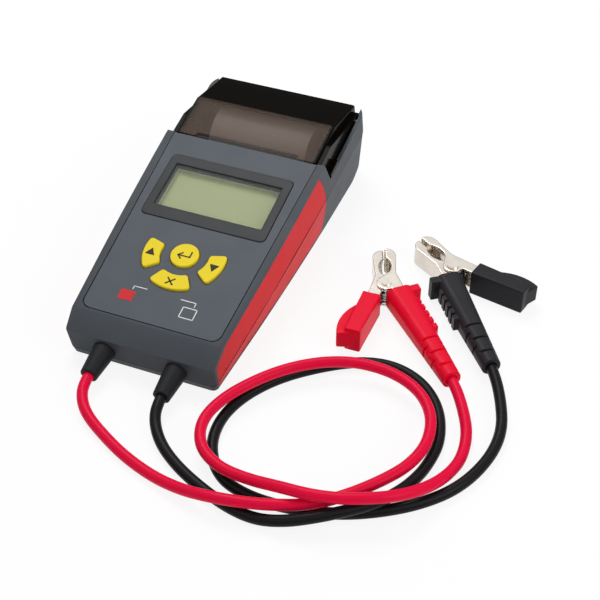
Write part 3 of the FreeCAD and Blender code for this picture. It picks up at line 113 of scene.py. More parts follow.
BLACK_ROUTE = [
    (19.5, -111.22, 7.76), (19.5, -120.16, 6.75), (22.0, -129.0, 4.4), (30.0, -139.0, 2.8),
    (42.5, -148.2, 2.8), (58.0, -155.8, 2.8), (74.0, -161.6, 2.8), (88.5, -163.6, 3.2),
    (101.5, -161.8, 6.0), (113.0, -157.6, 9.0), (124.4, -149.6, 9.2), (134.6, -141.0, 9.2),
    (141.6, -132.0, 8.6), (146.0, -120.0, 5.6), (148.8, -106.0, 2.8), (149.8, -89.5, 2.8),
    (143.5, -70.8, 2.8), (131.0, -57.0, 2.8), (114.0, -51.0, 2.8), (97.0, -54.8, 2.8),
    (80.0, -66.0, 2.8), (64.5, -80.2, 2.8), (53.5, -97.6, 2.8), (49.2, -115.5, 2.8),
    (52.5, -133.0, 2.8), (63.5, -147.6, 2.8), (80.0, -152.8, 2.8), (99.0, -152.4, 2.8),
    (118.0, -148.4, 2.8), (135.5, -140.4, 2.8), (153.0, -128.2, 2.8), (166.2, -112.8, 2.8),
    (173.8, -92.6, 2.8), (175.0, -74.0, 3.2), (169.8, -57.6, 5.4), (162.17, -42.17, 7.4),
    (156.88, -34.89, 7.4),
]
MM = 0.001
LEAD_RADIUS = 2.75 * MM
SECTION_STEPS = 6
ROUTE_STEPS = 10
SPLINE_ORDER = 3


def lay_lead(name, route):
    """One cable as an open spline with a round section and closed ends."""
    curve = bpy.data.curves.new(name, "CURVE")
    curve.dimensions = "3D"
    curve.bevel_depth = 1
    curve.bevel_resolution = SECTION_STEPS
    curve.resolution_u = ROUTE_STEPS
    curve.use_fill_caps = True
    spline = curve.splines.new("NURBS")
    spline.points.add(len(route) - 1)
    for point, place in zip(spline.points, route):
        point.co = (*(Vector(place) * MM), 1)
        point.radius = LEAD_RADIUS
    spline.order_u = SPLINE_ORDER
    spline.use_endpoint_u = True
    lead = bpy.data.objects.new(name, curve)
    bpy.context.collection.objects.link(lead)
    return lead


red_cable = lay_lead("red_test_lead", RED_ROUTE)
black_cable = lay_lead("black_test_lead", BLACK_ROUTE)
print("leads", red_cable.name, black_cable.name)

# %% [markdown]
# Boots, clip sleeves and grips are moulded in soft rubber, so no edge on them is sharp.
# A copy of each solid is joined at its corners, remeshed as a skin of even cells and smoothed.
# That rounds every edge by the same small amount, as a rubber mould does.

# %% Rounded rubber mouldings
RUBBER_CELL = 0.32 * MM
PLATE_CELL = 0.28 * MM
MERGE_REACH = 0.001 * MM
SMOOTH_FACTOR = 0.5


def pick(piece):
    """Make one piece the only selected and active one."""
    bpy.ops.object.select_all(action="DESELECT")
    piece.select_set(True)
    bpy.context.view_layer.objects.active = piece


def copy_solid(name, node):
    """Loose copy of a solid, joined along its edges, at the origin."""
    pick(solids[node])
    bpy.ops.object.duplicate()
    piece = bpy.context.object
    piece.name = name
    piece.data.name = name
    bpy.ops.object.parent_clear(type="CLEAR_KEEP_TRANSFORM")
    for mark in [key for key in piece.keys() if key.startswith("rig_")]:
        del piece[mark]
    bpy.ops.object.mode_set(mode="EDIT")
    bpy.ops.mesh.select_all(action="SELECT")
    bpy.ops.mesh.remove_doubles(threshold=MERGE_REACH)
    bpy.ops.object.mode_set(mode="OBJECT")
    return piece


def soften(piece, cell, passes):
    """Remesh a piece into even cells and smooth its edges."""
    pick(piece)
    piece.data.remesh_voxel_size = cell
    bpy.ops.object.voxel_remesh()
    smooth = piece.modifiers.new("soft_edges", "SMOOTH")
    smooth.factor = SMOOTH_FACTOR
    smooth.iterations = passes
    bpy.ops.object.modifier_apply(modifier=smooth.name)
    bpy.ops.object.shade_smooth()


def mould(node, body, cell, passes, core=None):
    """Rounded copy of a solid that takes its place. A core fills a socket before the remesh."""
    piece = copy_solid(f"{node}_moulding", node)
    if core:
        pick(piece)
        core.select_set(True)
        bpy.ops.object.join()
    soften(piece, cell, passes)
    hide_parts(node)
    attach(piece, body)
    print(piece.name, len(piece.data.polygons))
    return piece


# %% [markdown]
# The sleeve is slipped over the steel handle, and its wall over the handle is thin. A block as
# large as the socket closes it first, so that the even cells of the remesh can't open a hole there.

# %% Sleeves, grips and boots
# Pivot of each clip across and along the table in millimetres, and its turn in degrees
CLIP_SPOTS = {"red": (94.4, -5.3, 21.7), "black": (122.4, 20.4, 56.0)}
CLIP_HEIGHT = 7.4
HANDLE_SPLAY = 20
SOCKET_LOW = Vector((0.7, -26.2, -4.9))
SOCKET_HIGH = Vector((7.3, -7.2, 6.3))
SLEEVE_PASSES = 5
GRIP_PASSES = 40
BOOT_PASSES = 8


def socket_core(colour):
    """Block in the socket of a clip's sleeve, turned as the handle lies."""
    across, along, turn = CLIP_SPOTS[colour]
    place = Matrix.Translation(Vector((across, along, CLIP_HEIGHT)) * MM)
    place = place @ Matrix.Rotation(math.radians(turn), 4, "Z")
    if colour == "black":
        place = place @ Matrix.Rotation(math.pi, 4, "Y")
    place = place @ Matrix.Rotation(math.radians(HANDLE_SPLAY), 4, "Z")
    bpy.ops.object.select_all(action="DESELECT")
    bpy.ops.mesh.primitive_cube_add(size=1)
    core = bpy.context.object
    middle = Matrix.Translation((SOCKET_LOW + SOCKET_HIGH) / 2 * MM)
    extent = Matrix.Diagonal((*((SOCKET_HIGH - SOCKET_LOW) * MM), 1))
    core.data.transform(place @ middle @ extent)
    return core


rubber = {}
for colour in COLOURS:
    lever = f"{colour}_clip_lever"
    rubber[f"{colour}_boot"] = mould(f"{colour}_lead_boot", "body", RUBBER_CELL, BOOT_PASSES)
    rubber[f"{colour}_sleeve"] = mould(
        f"{colour}_clip_sleeve", "body", RUBBER_CELL, SLEEVE_PASSES, socket_core(colour)
    )
    rubber[f"{colour}_grip"] = mould(f"{colour}_clip_grip", lever, RUBBER_CELL, GRIP_PASSES)

# %% [markdown]
# The jaws are pressed from sheet steel. Pressing rounds every bend and edge a little, and the
# plating shows that as a bright line, so the jaws get the same treatment with smaller cells.

# %% Pressed jaws
JAW_PASSES = 4
jaws = {}
for colour in COLOURS:
    fixed = f"{colour}_clip_fixed_jaw"
    moving = f"{colour}_clip_moving_jaw"
    jaws[f"{colour}_fixed"] = mould(fixed, "body", PLATE_CELL, JAW_PASSES)
    jaws[f"{colour}_moving"] = mould(moving, f"{colour}_clip_lever", PLATE_CELL, JAW_PASSES)

# %% [markdown]
# Each clip has a torsion spring round its rivet. One leg presses on the cable's handle and the other
# on the short one, and the coils between them twist when the handles are squeezed. The spring here
# is a smooth-shaded copy of its solid that stays as it is.

# %% Torsion springs
springs = {}


def twist_spring(colour):
    """Smooth-shaded copy of a clip's spring, with its place baked into its mesh."""
    node = f"{colour}_clip_spring"
    piece = copy_solid(f"{node}_wire", node)
    bpy.ops.object.shade_smooth()
    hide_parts(node)
    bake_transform(piece)
    return piece


for colour in COLOURS:
    springs[colour] = twist_spring(colour)
    print(springs[colour].name, len(springs[colour].data.polygons))

# %% [markdown]
# The shells, the trims, the panel and the bezel are hard mouldings with a small radius on every edge.
# Triangles of one flat face are dissolved first, so that a bevel meets whole faces. The bevel is
# clamped, because the shells have fine corners, and weighted normals keep the flat faces flat.

# %% Rounded shells
SHELL_ROUND = 0.45 * MM
ROUND_STEPS = 2
FLAT_WEIGHT = 100
FLAT_ANGLE = math.radians(1)
EDGE_ANGLE = math.radians(35)
SHELL_SLOTS = {
    "upper_case": "case", "lower_case": "case", "front_panel": "panel", "display_bezel": "bezel",
    "left_trim_upper": "trim", "left_trim_lower": "trim",
    "right_trim_upper": "trim", "right_trim_lower": "trim",
}


def round_edges(node, body, width):
    """Copy of a hard moulding with bevelled edges that takes its place."""
    piece = copy_solid(f"{node}_shell", node)
    bpy.ops.object.mode_set(mode="EDIT")
    bpy.ops.mesh.select_all(action="SELECT")
    bpy.ops.mesh.dissolve_limited(angle_limit=FLAT_ANGLE)
    bpy.ops.object.mode_set(mode="OBJECT")
    edge = piece.modifiers.new("edge", "BEVEL")
    edge.width = width
    edge.segments = ROUND_STEPS
    edge.limit_method = "ANGLE"
    edge.angle_limit = EDGE_ANGLE
    edge.use_clamp_overlap = True
    bpy.ops.object.modifier_apply(modifier=edge.name)
    bpy.ops.object.shade_smooth_by_angle(angle=EDGE_ANGLE)
    even = piece.modifiers.new("even_normals", "WEIGHTED_NORMAL")
    even.keep_sharp = True
    even.weight = FLAT_WEIGHT
    bpy.ops.object.modifier_apply(modifier=even.name)
    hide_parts(node)
    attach(piece, body)
    print(piece.name, len(piece.data.polygons))
    return piece


shells = {}
for node, slot in SHELL_SLOTS.items():
    shells[node] = round_edges(node, "body", SHELL_ROUND)

# %% [markdown]
# The cable of each lead takes the place of its solid lead, which is hidden, and rides on the body.
# Its boot, its clip's metal parts and the rubber mouldings are gathered in lists beside it.

for colour, cable, route in (("red", red_cable, RED_ROUTE), ("black", black_cable, BLACK_ROUTE)):
    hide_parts(f"{colour}_lead")
    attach(cable, "body")
    mouldings = [rubber[f"{colour}_{part}"] for part in ("boot", "sleeve", "grip")]
    mouldings += [jaws[f"{colour}_{part}"] for part in ("fixed", "moving")]
    metal = [solids[f"{colour}_clip_rivet"], springs[colour]]

# %% [markdown]
# The signs on the keys and the panel are printed. On a real tester the ink stands almost level,
# so each sign is a plate a tenth of a millimetre thick, cut from a simple outline and laid on the face.
# They are drawn flat first, in the face's own measures, and then tipped with it.

# %% Face of the tester
FACE_TILT = math.radians(12)
FACE_PLACE = Vector((0, -102.3 * MM, 21.0302 * MM))
FACE = Matrix.Translation(FACE_PLACE) @ Matrix.Rotation(FACE_TILT, 4, "X")
INK = 0.1 * MM
INK_SINK = 0.03 * MM
KEY_TOP = 1.3 * MM
PANEL_TOP = 0
ARROW_CORNER = 1 / 8
CORNER_STEPS = 3


def lay_on_face(piece, x, y, height):
    """Put a flat piece on the face at x, y in millimetres and leave its place in its mesh."""
    pick(piece)
    place = FACE @ Matrix.Translation((x * MM, y * MM, height - INK_SINK))
    piece.data.transform(place @ piece.matrix_world)
    piece.matrix_world = Matrix.Identity(4)


def thicken(piece):
    """Pull a flat outline up to the thickness of the ink and turn its faces outward."""
    pick(piece)
    bpy.ops.object.mode_set(mode="EDIT")
    bpy.ops.mesh.select_all(action="SELECT")
    bpy.ops.mesh.extrude_region_move(TRANSFORM_OT_translate={"value": (0, 0, INK + INK_SINK)})
    bpy.ops.mesh.select_all(action="SELECT")
    bpy.ops.mesh.normals_make_consistent(inside=False)
    bpy.ops.object.mode_set(mode="OBJECT")


def arrow_sign(name, radius, turn):
    """Triangle with its point towards +y, turned about z."""
    bpy.ops.object.select_all(action="DESELECT")
    bpy.ops.mesh.primitive_circle_add(
        vertices=3, radius=radius, fill_type="NGON", rotation=(0, 0, turn)
    )
    piece = bpy.context.object
    piece.name = name
    bpy.ops.object.transform_apply(rotation=True)
    bpy.ops.object.mode_set(mode="EDIT")
    bpy.ops.mesh.select_all(action="SELECT")
    bpy.ops.mesh.bevel(offset=radius * ARROW_CORNER, segments=CORNER_STEPS, affect="VERTICES")
    bpy.ops.object.mode_set(mode="OBJECT")
    thicken(piece)
    return piece


def stroke_sign(name, strokes, pen):
    """Sign drawn with straight strokes (x0, y0, x1, y1) of one pen width, all in millimetres."""
    bars = []
    for x0, y0, x1, y1 in strokes:
        length = math.hypot(x1 - x0, y1 - y0) + pen
        turn = math.atan2(y1 - y0, x1 - x0)
        middle = ((x0 + x1) / 2 * MM, (y0 + y1) / 2 * MM, 0)
        bpy.ops.object.select_all(action="DESELECT")
        bpy.ops.mesh.primitive_plane_add(size=1, location=middle)
        bar = bpy.context.object
        bar.scale = (length * MM, pen * MM, 1)
        bar.rotation_euler = (0, 0, turn)
        bpy.ops.object.transform_apply(location=True, rotation=True, scale=True)
        thicken(bar)
        bars.append(bar)
    bpy.ops.object.select_all(action="DESELECT")
    for bar in bars:
        bar.select_set(True)
    bpy.context.view_layer.objects.active = bars[0]
    bpy.ops.object.join()
    bars[0].name = name
    return bars[0]


# %% Signs on the keys
ARROW_RADIUS = 3.0 * MM
KEY_PEN = 0.75
UP_SPOT = (-17.3, 54.6)
DOWN_SPOT = (17.3, 55.2)
ENTER_SPOT = (0, 58.1)
ESCAPE_SPOT = (0, 40.6)
RETURN_ARROW = [
    (3.2, 2.4, 3.2, -0.8), (3.2, -0.8, -3.2, -0.8),
    (-3.2, -0.8, -1.3, 1.0), (-3.2, -0.8, -1.3, -2.6),
]
CROSS = [(-1.8, -1.8, 1.8, 1.8), (-1.8, 1.8, 1.8, -1.8)]

up_sign = arrow_sign("up_sign", ARROW_RADIUS, 0)
lay_on_face(up_sign, *UP_SPOT, KEY_TOP)
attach(up_sign, "up_key")
down_sign = arrow_sign("down_sign", ARROW_RADIUS, math.pi)
lay_on_face(down_sign, *DOWN_SPOT, KEY_TOP)
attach(down_sign, "down_key")
enter_sign = stroke_sign("enter_sign", RETURN_ARROW, KEY_PEN)
lay_on_face(enter_sign, *ENTER_SPOT, KEY_TOP)
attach(enter_sign, "enter_key")
escape_sign = stroke_sign("escape_sign", CROSS, KEY_PEN)
lay_on_face(escape_sign, *ESCAPE_SPOT, KEY_TOP)
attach(escape_sign, "escape_key")
key_signs = [up_sign, down_sign, enter_sign, escape_sign]
print("key signs", len(key_signs))

# %% Signs on the panel: which lead is positive and which is negative
RED_STROKE = [(-0.85, 0, 0.85, 0)]
RED_PEN = 6.0
RED_SPOT = (-17.9, 27.0)
BOX_STROKES = [
    (-3.7, -3.1, 3.7, -3.1), (3.7, -3.1, 3.7, 3.1),
    (3.7, 3.1, -3.7, 3.1), (-3.7, 3.1, -3.7, -3.1),
]
BOX_PEN = 0.5
BOX_SPOT = (16.2, 25.8)
LINE_STROKES = [
    (-16.4, 31.2, -16.4, 33.2), (-16.4, 33.2, -9.5, 33.2),
    (9.5, 32.6, 17.6, 32.6), (17.6, 32.6, 17.6, 30.2),
]
LINE_PEN = 0.45

red_square = stroke_sign("red_terminal_sign", RED_STROKE, RED_PEN)
lay_on_face(red_square, *RED_SPOT, PANEL_TOP)
white_box = stroke_sign("white_terminal_sign", BOX_STROKES, BOX_PEN)
lay_on_face(white_box, *BOX_SPOT, PANEL_TOP)
white_lines = stroke_sign("white_terminal_lines", LINE_STROKES, LINE_PEN)
lay_on_face(white_lines, 0, 0, PANEL_TOP)
for sign in (red_square, white_box, white_lines):
    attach(sign, "body")

# %% [markdown]
# Paper is torn off against a thin saw-toothed strip along the slot of the cover. It starts as a flat
# grid whose front row of points is pulled out at every second point, and is then made thick.

# %% Tear strip in the paper slot
TEAR_TEETH = 48
TEAR_HALF = 29.2
TEAR_DEPTH = 1.0
TEAR_TOOTH = 0.5
TEAR_STATION = 138.8
TEAR_DROP = 1.5


def tear_strip(name):
    """Thin strip along x with a row of teeth towards -y."""
    bpy.ops.object.select_all(action="DESELECT")
    bpy.ops.mesh.primitive_grid_add(x_subdivisions=2 * TEAR_TEETH, y_subdivisions=1, size=1)
    piece = bpy.context.object
    piece.name = name
    piece.scale = (2 * TEAR_HALF * MM, TEAR_DEPTH * MM, 1)
    bpy.ops.object.transform_apply(scale=True)
    step = TEAR_HALF / TEAR_TEETH * MM
    bpy.ops.object.mode_set(mode="EDIT")
    bpy.ops.mesh.select_mode(type="VERT")
    bpy.ops.mesh.select_all(action="DESELECT")
    bpy.ops.object.mode_set(mode="OBJECT")
    for point in piece.data.vertices:
        column = round((point.co.x + TEAR_HALF * MM) / step)
        point.select = point.co.y < 0 and column % 2 == 1
    bpy.ops.object.mode_set(mode="EDIT")
    bpy.ops.transform.translate(value=(0, -TEAR_TOOTH * MM, 0))
    bpy.ops.object.mode_set(mode="OBJECT")
    thicken(piece)
    return piece


tear = tear_strip("tear_strip")
lay_on_face(tear, 0, TEAR_STATION, -TEAR_DROP * MM)
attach(tear, "printer_cover")
print("tear strip", len(tear.data.polygons))

# %% [markdown]
# Plastic that comes out of a spark-eroded mould has a fine even grain, and it is handled a lot, so
# its gloss and tone change a little from place to place. Many finishes share that, so it is one
# node group: a fine noise for the height and a wide, slow noise for tone and gloss.

# %% Moulded surface, a node group
GRAIN_SCALE = 2500
GRAIN_DETAIL = 4.0
GRAIN_ROUGHNESS = 0.6
PATCH_SCALE = 60
PATCH_DETAIL = 5.0
PATCH_ROUGHNESS = 0.55
SMOOTHEST = 0.4
ROUGHEST = 0.55
FLOAT = "NodeSocketFloat"
COLOUR = "NodeSocketColor"
WHITE = (1, 1, 1, 1)
# Places of the colour sockets on a Mix node
MIX_A, MIX_B, MIX_RESULT = 6, 7, 2


def new_group(name, inputs, outputs):
    """Empty node group with the sockets it takes and gives."""
    group = bpy.data.node_groups.new(name, "ShaderNodeTree")
    for label, kind, value in inputs:
        group.interface.new_socket(label, in_out="INPUT", socket_type=kind).default_value = value
    for label, kind in outputs:
        group.interface.new_socket(label, in_out="OUTPUT", socket_type=kind)
    return group


moulded = new_group(
    "moulded_surface",
    [("Colour", COLOUR, WHITE), ("Worn colour", COLOUR, WHITE), ("Grain scale", FLOAT, GRAIN_SCALE),
     ("Patch scale", FLOAT, PATCH_SCALE), ("Smoothest", FLOAT, SMOOTHEST),
     ("Roughest", FLOAT, ROUGHEST)],
    [("Colour", COLOUR), ("Roughness", FLOAT), ("Height", FLOAT)],
)


def add(tree, kind, **values):
    """New node with settings and socket values given by name."""
    node = tree.nodes.new(kind)
    for key, value in values.items():
        if hasattr(node, key):
            setattr(node, key, value)
        else:
            node.inputs[key].default_value = value
    return node


def fill_moulded(tree):
    """Colour and gloss that wander with a slow noise, and a fine grain as height."""
    given = tree.nodes.new("NodeGroupInput")
    wanted = tree.nodes.new("NodeGroupOutput")
    place = tree.nodes.new("ShaderNodeTexCoord")
    grain = add(tree, "ShaderNodeTexNoise", Detail=GRAIN_DETAIL, Roughness=GRAIN_ROUGHNESS)
    patch = add(tree, "ShaderNodeTexNoise", Detail=PATCH_DETAIL, Roughness=PATCH_ROUGHNESS)
    tone = add(tree, "ShaderNodeMix", data_type="RGBA")
    gloss = tree.nodes.new("ShaderNodeMapRange")
    link = tree.links.new
    for noise, scale in ((grain, "Grain scale"), (patch, "Patch scale")):
        link(place.outputs["Object"], noise.inputs["Vector"])
        link(given.outputs[scale], noise.inputs["Scale"])
    link(patch.outputs["Fac"], tone.inputs["Factor"])
    link(given.outputs["Colour"], tone.inputs[MIX_A])
    link(given.outputs["Worn colour"], tone.inputs[MIX_B])
    link(patch.outputs["Fac"], gloss.inputs["Value"])
    link(given.outputs["Smoothest"], gloss.inputs["To Min"])
    link(given.outputs["Roughest"], gloss.inputs["To Max"])
    link(tone.outputs[MIX_RESULT], wanted.inputs["Colour"])
    link(gloss.outputs["Result"], wanted.inputs["Roughness"])
    link(grain.outputs["Fac"], wanted.inputs["Height"])


fill_moulded(moulded)
print("group", moulded.name)

# %% [markdown]
# A finish puts that group under a Principled shader. Colour and worn colour lie close together,
# so that the tone wanders only slightly. Values that are the same all over sit on the shader itself.

# %% Finish from the moulded surface
GRAIN_DEPTH = 0.05 * MM


def finish(
    name, colour, worn, smooth, rough, grain=GRAIN_SCALE, patch=PATCH_SCALE, bump=0.15, **shader
):
    """Material with two close colours and the least and greatest roughness between which it wanders."""
    material = bpy.data.materials.new(name)
    material.use_nodes = True
    tree = material.node_tree
    principled = tree.nodes["Principled BSDF"]
    surface = tree.nodes.new("ShaderNodeGroup")
    surface.node_tree = moulded
    for label, value in (
        ("Colour", (*colour, 1)), ("Worn colour", (*worn, 1)), ("Grain scale", grain),
        ("Patch scale", patch), ("Smoothest", smooth), ("Roughest", rough),
    ):
        surface.inputs[label].default_value = value
    bumps = add(tree, "ShaderNodeBump", Strength=bump, Distance=GRAIN_DEPTH)
    tree.links.new(surface.outputs["Colour"], principled.inputs["Base Color"])
    tree.links.new(surface.outputs["Roughness"], principled.inputs["Roughness"])
    tree.links.new(surface.outputs["Height"], bumps.inputs["Height"])
    tree.links.new(bumps.outputs["Normal"], principled.inputs["Normal"])
    for label, value in shader.items():
        principled.inputs[label.replace("_", " ")].default_value = value
    return material


# %% [markdown]
# Under a white sky every gloss adds white to a colour, so plastics and rubber get a low specular
# level. The red trim, the clear window and the smoked cover get the lowest: the trim stays a full
# red, and the other two don't hide what lies below them.

# %% Finishes
LOW_SHINE = 0.12
RUBBER_SHINE = 0.1
TRIM_SHINE = 0.05
WINDOW_SHINE = 0.06
SMOKE_SHINE = 0.03
WINDOW_ALPHA = 0.06

CASE = finish(
    "case_grey", (0.077, 0.087, 0.1), (0.064, 0.073, 0.086), 0.4, 0.54, bump=0.35,
    Specular_IOR_Level=LOW_SHINE,
)
PANEL = finish(
    "panel_grey", (0.098, 0.112, 0.131), (0.086, 0.099, 0.117), 0.36, 0.48, grain=3400, bump=0.2,
    Specular_IOR_Level=LOW_SHINE,
)
BEZEL = finish(
    "bezel_grey", (0.03, 0.033, 0.035), (0.025, 0.027, 0.029), 0.3, 0.42, Specular_IOR_Level=LOW_SHINE
)
TRIM = finish(
    "trim_red", (0.84, 0.01, 0.018), (0.78, 0.008, 0.015), 0.32, 0.45, Specular_IOR_Level=TRIM_SHINE
)
KEY = finish(
    "key_yellow", (1.0, 0.8, 0.03), (0.97, 0.74, 0.024), 0.42, 0.56, grain=3000, bump=0.2,
    Specular_IOR_Level=LOW_SHINE,
)
BOOT = finish(
    "boot_rubber", (0.023, 0.024, 0.028), (0.017, 0.018, 0.021), 0.42, 0.56, bump=0.3,
    Specular_IOR_Level=RUBBER_SHINE,
)
RED_RUBBER = finish(
    "red_rubber", (0.97, 0.005, 0.04), (0.9, 0.004, 0.033), 0.32, 0.46, bump=0.2,
    Specular_IOR_Level=RUBBER_SHINE,
)
BLACK_RUBBER = finish(
    "black_rubber", (0.03, 0.03, 0.034), (0.023, 0.023, 0.027), 0.32, 0.48, bump=0.2,
    Specular_IOR_Level=RUBBER_SHINE,
)
RED_CABLE = finish(
    "red_cable", (0.95, 0.004, 0.06), (0.88, 0.003, 0.051), 0.28, 0.4, bump=0.12,
    Specular_IOR_Level=RUBBER_SHINE,
)
BLACK_CABLE = finish(
    "black_cable", (0.011, 0.011, 0.013), (0.008, 0.008, 0.009), 0.28, 0.42, bump=0.12,
    Specular_IOR_Level=RUBBER_SHINE,
)
INNER = finish("inner_plastic", (0.5, 0.52, 0.46), (0.45, 0.47, 0.42), 0.5, 0.65)
LCD = finish(
    "display_glass", (0.4, 0.445, 0.215), (0.38, 0.425, 0.2), 0.25, 0.34, patch=25, bump=0.02,
    Specular_IOR_Level=LOW_SHINE,
)
BOARD = finish("circuit_board", (0.02, 0.14, 0.05), (0.015, 0.11, 0.04), 0.35, 0.5)
MAT = finish("keypad_rubber", (0.02, 0.02, 0.022), (0.016, 0.016, 0.018), 0.55, 0.7)
PAPER = finish("thermal_paper", (0.9, 0.8, 0.7), (0.87, 0.77, 0.67), 0.6, 0.72, grain=1800, bump=0.1)
GEAR = finish("gear_plastic", (0.8, 0.78, 0.72), (0.74, 0.72, 0.66), 0.35, 0.48)
BLACKED = finish(
    "blacked_steel", (0.02, 0.02, 0.022), (0.028, 0.028, 0.03), 0.35, 0.5, bump=0.1,
    Specular_IOR_Level=LOW_SHINE,
)
DARK_INK = finish(
    "dark_ink", (0.03, 0.026, 0.01), (0.024, 0.02, 0.008), 0.4, 0.5, Specular_IOR_Level=LOW_SHINE
)
WHITE_INK = finish("white_ink", (0.85, 0.86, 0.87), (0.78, 0.79, 0.8), 0.4, 0.5)
RED_INK = finish(
    "red_ink", (0.75, 0.02, 0.03), (0.68, 0.016, 0.025), 0.35, 0.45, Specular_IOR_Level=LOW_SHINE
)
# The cover's lighter brown colour is a painted sheen on its flat top
SMOKED = finish(
    "smoked_cover", (0.165, 0.118, 0.092), (0.142, 0.102, 0.079), 0.12, 0.18, patch=30, bump=0.02,
    Specular_IOR_Level=SMOKE_SHINE,
)
WINDOW = finish(
    "clear_window", (0.7, 0.74, 0.66), (0.66, 0.7, 0.62), 0.03, 0.06, bump=0.01, Alpha=WINDOW_ALPHA,
    Specular_IOR_Level=WINDOW_SHINE,
)

# %% [markdown]
# The smoked cover lets the paper roll show only through its flat top, whose lighter brown colour is
# a painted sheen. On the rear slope and the sides the way through the plastic is longer, so alpha
# rises there, and the colour goes almost black as painted shade. Alpha and colour follow that: Object
# coordinates are turned into the face's own measures and compared with the crease and the crown's
# width.

# %% Smoke and painted shade of the cover
COVER_CREASE = 164.7 * MM
CREASE_REACH = (0.4 * MM, 1.8 * MM)
CROWN_INSIDE = 39.2 * MM
SMOKE_EDGE = 1.0 * MM
CLEAR_SMOKE = 0.4
DEEP_SMOKE = 0.97
# Near-black colour of the painted shade on the rear slope and the sides
PAINTED_SHADE_COLOUR = (0.005, 0.004, 0.003, 1)


def band(tree, value, start, end, low, high):
    """Number that runs from low to high while value goes from start to end."""
    ramp = tree.nodes.new("ShaderNodeMapRange")
    for label, number in (("From Min", start), ("From Max", end), ("To Min", low), ("To Max", high)):
        ramp.inputs[label].default_value = number
    tree.links.new(value, ramp.inputs["Value"])
    return ramp.outputs["Result"]


def tilted_axes(tree, origin, tilt):
    """Object coordinates measured from an origin, in axes that are tilted about x."""
    place = tree.nodes.new("ShaderNodeTexCoord")
    level = add(tree, "ShaderNodeMapping", vector_type="TEXTURE")
    level.inputs["Location"].default_value = origin
    level.inputs["Rotation"].default_value = (tilt, 0, 0)
    axes = tree.nodes.new("ShaderNodeSeparateXYZ")
    tree.links.new(place.outputs["Object"], level.inputs["Vector"])
    tree.links.new(level.outputs["Vector"], axes.inputs["Vector"])
    return axes


def smoke_and_shade(material):
    """Make a finish denser behind the crease and outside the crown, and paint it darker there as shade.
    """
    tree = material.node_tree
    link = tree.links.new
    principled = tree.nodes["Principled BSDF"]
    # The finish's lighter brown colour is the painted sheen of the flat top
    painted_sheen_colour = principled.inputs["Base Color"].links[0].from_socket
    axes = tilted_axes(tree, FACE_PLACE, FACE_TILT)
    aside = add(tree, "ShaderNodeMath", operation="ABSOLUTE")
    density_and_shade = add(tree, "ShaderNodeMath", operation="MAXIMUM")
    painted_light_mix = add(tree, "ShaderNodeMix", data_type="RGBA")
    link(axes.outputs["X"], aside.inputs[0])
    near, far = (COVER_CREASE + reach for reach in CREASE_REACH)
    behind = band(tree, axes.outputs["Y"], near, far, 0, 1)
    link(behind, density_and_shade.inputs[0])
    outside = band(tree, aside.outputs["Value"], CROWN_INSIDE - SMOKE_EDGE, CROWN_INSIDE, 0, 1)
    link(outside, density_and_shade.inputs[1])
    density = band(tree, density_and_shade.outputs["Value"], 0, 1, CLEAR_SMOKE, DEEP_SMOKE)
    link(density, principled.inputs["Alpha"])
    link(density_and_shade.outputs["Value"], painted_light_mix.inputs["Factor"])
    link(painted_sheen_colour, painted_light_mix.inputs[MIX_A])
    # Painted shade behind the crease and outside the crown
    painted_light_mix.inputs[MIX_B].default_value = PAINTED_SHADE_COLOUR
    link(painted_light_mix.outputs[MIX_RESULT], principled.inputs["Base Color"])


smoke_and_shade(SMOKED)

# %% [markdown]
# The two shells of the case meet at a fine groove that runs round the nose and the tail. Its shade
# is painted as a dark line into the case's colour. The groove lies in one tilted plane, so the line
# is simply all the points that are close to that plane.

# %% Painted shade in the seam of the case
PARTING_DROP = 17 * MM
PARTING_TILT = FACE_TILT - math.radians(3.5)
SEAM_HALF = 0.22 * MM
SEAM_FADE = 0.5 * MM
# Colour of the painted shade in the parting groove
SEAM_SHADE_COLOUR = (0.012, 0.013, 0.015, 1)


def paint_seam_shade(material):
    """Paint the shade of the parting groove into a finish, as a dark line along its plane."""
    tree = material.node_tree
    principled = tree.nodes["Principled BSDF"]
    plain = principled.inputs["Base Color"].links[0].from_socket
    axes = tilted_axes(tree, FACE @ Vector((0, 0, -PARTING_DROP)), PARTING_TILT)
    away = add(tree, "ShaderNodeMath", operation="ABSOLUTE")
    painted_light_mix = add(tree, "ShaderNodeMix", data_type="RGBA")
    painted_light_mix.inputs[MIX_B].default_value = SEAM_SHADE_COLOUR
    tree.links.new(axes.outputs["Z"], away.inputs[0])
    line = band(tree, away.outputs["Value"], SEAM_HALF, SEAM_FADE, 1, 0)
    tree.links.new(line, painted_light_mix.inputs["Factor"])
    tree.links.new(plain, painted_light_mix.inputs[MIX_A])
    tree.links.new(painted_light_mix.outputs[MIX_RESULT], principled.inputs["Base Color"])


paint_seam_shade(CASE)

# %% [markdown]
# The clip jaws are nickel-plated sheet steel. Rolling and tumbling leave fine streaks along one
# way, so their height and gloss come from a noise that is stretched in that way.

# %% Plated sheet metal
STREAK_DETAIL = 6.0
STREAK_ROUGHNESS = 0.65
CLOUD_SCALE = 140.0
CLOUD_DETAIL = 4.0
STREAK_BUMP = 0.04
STREAK_DEPTH = 0.02 * MM


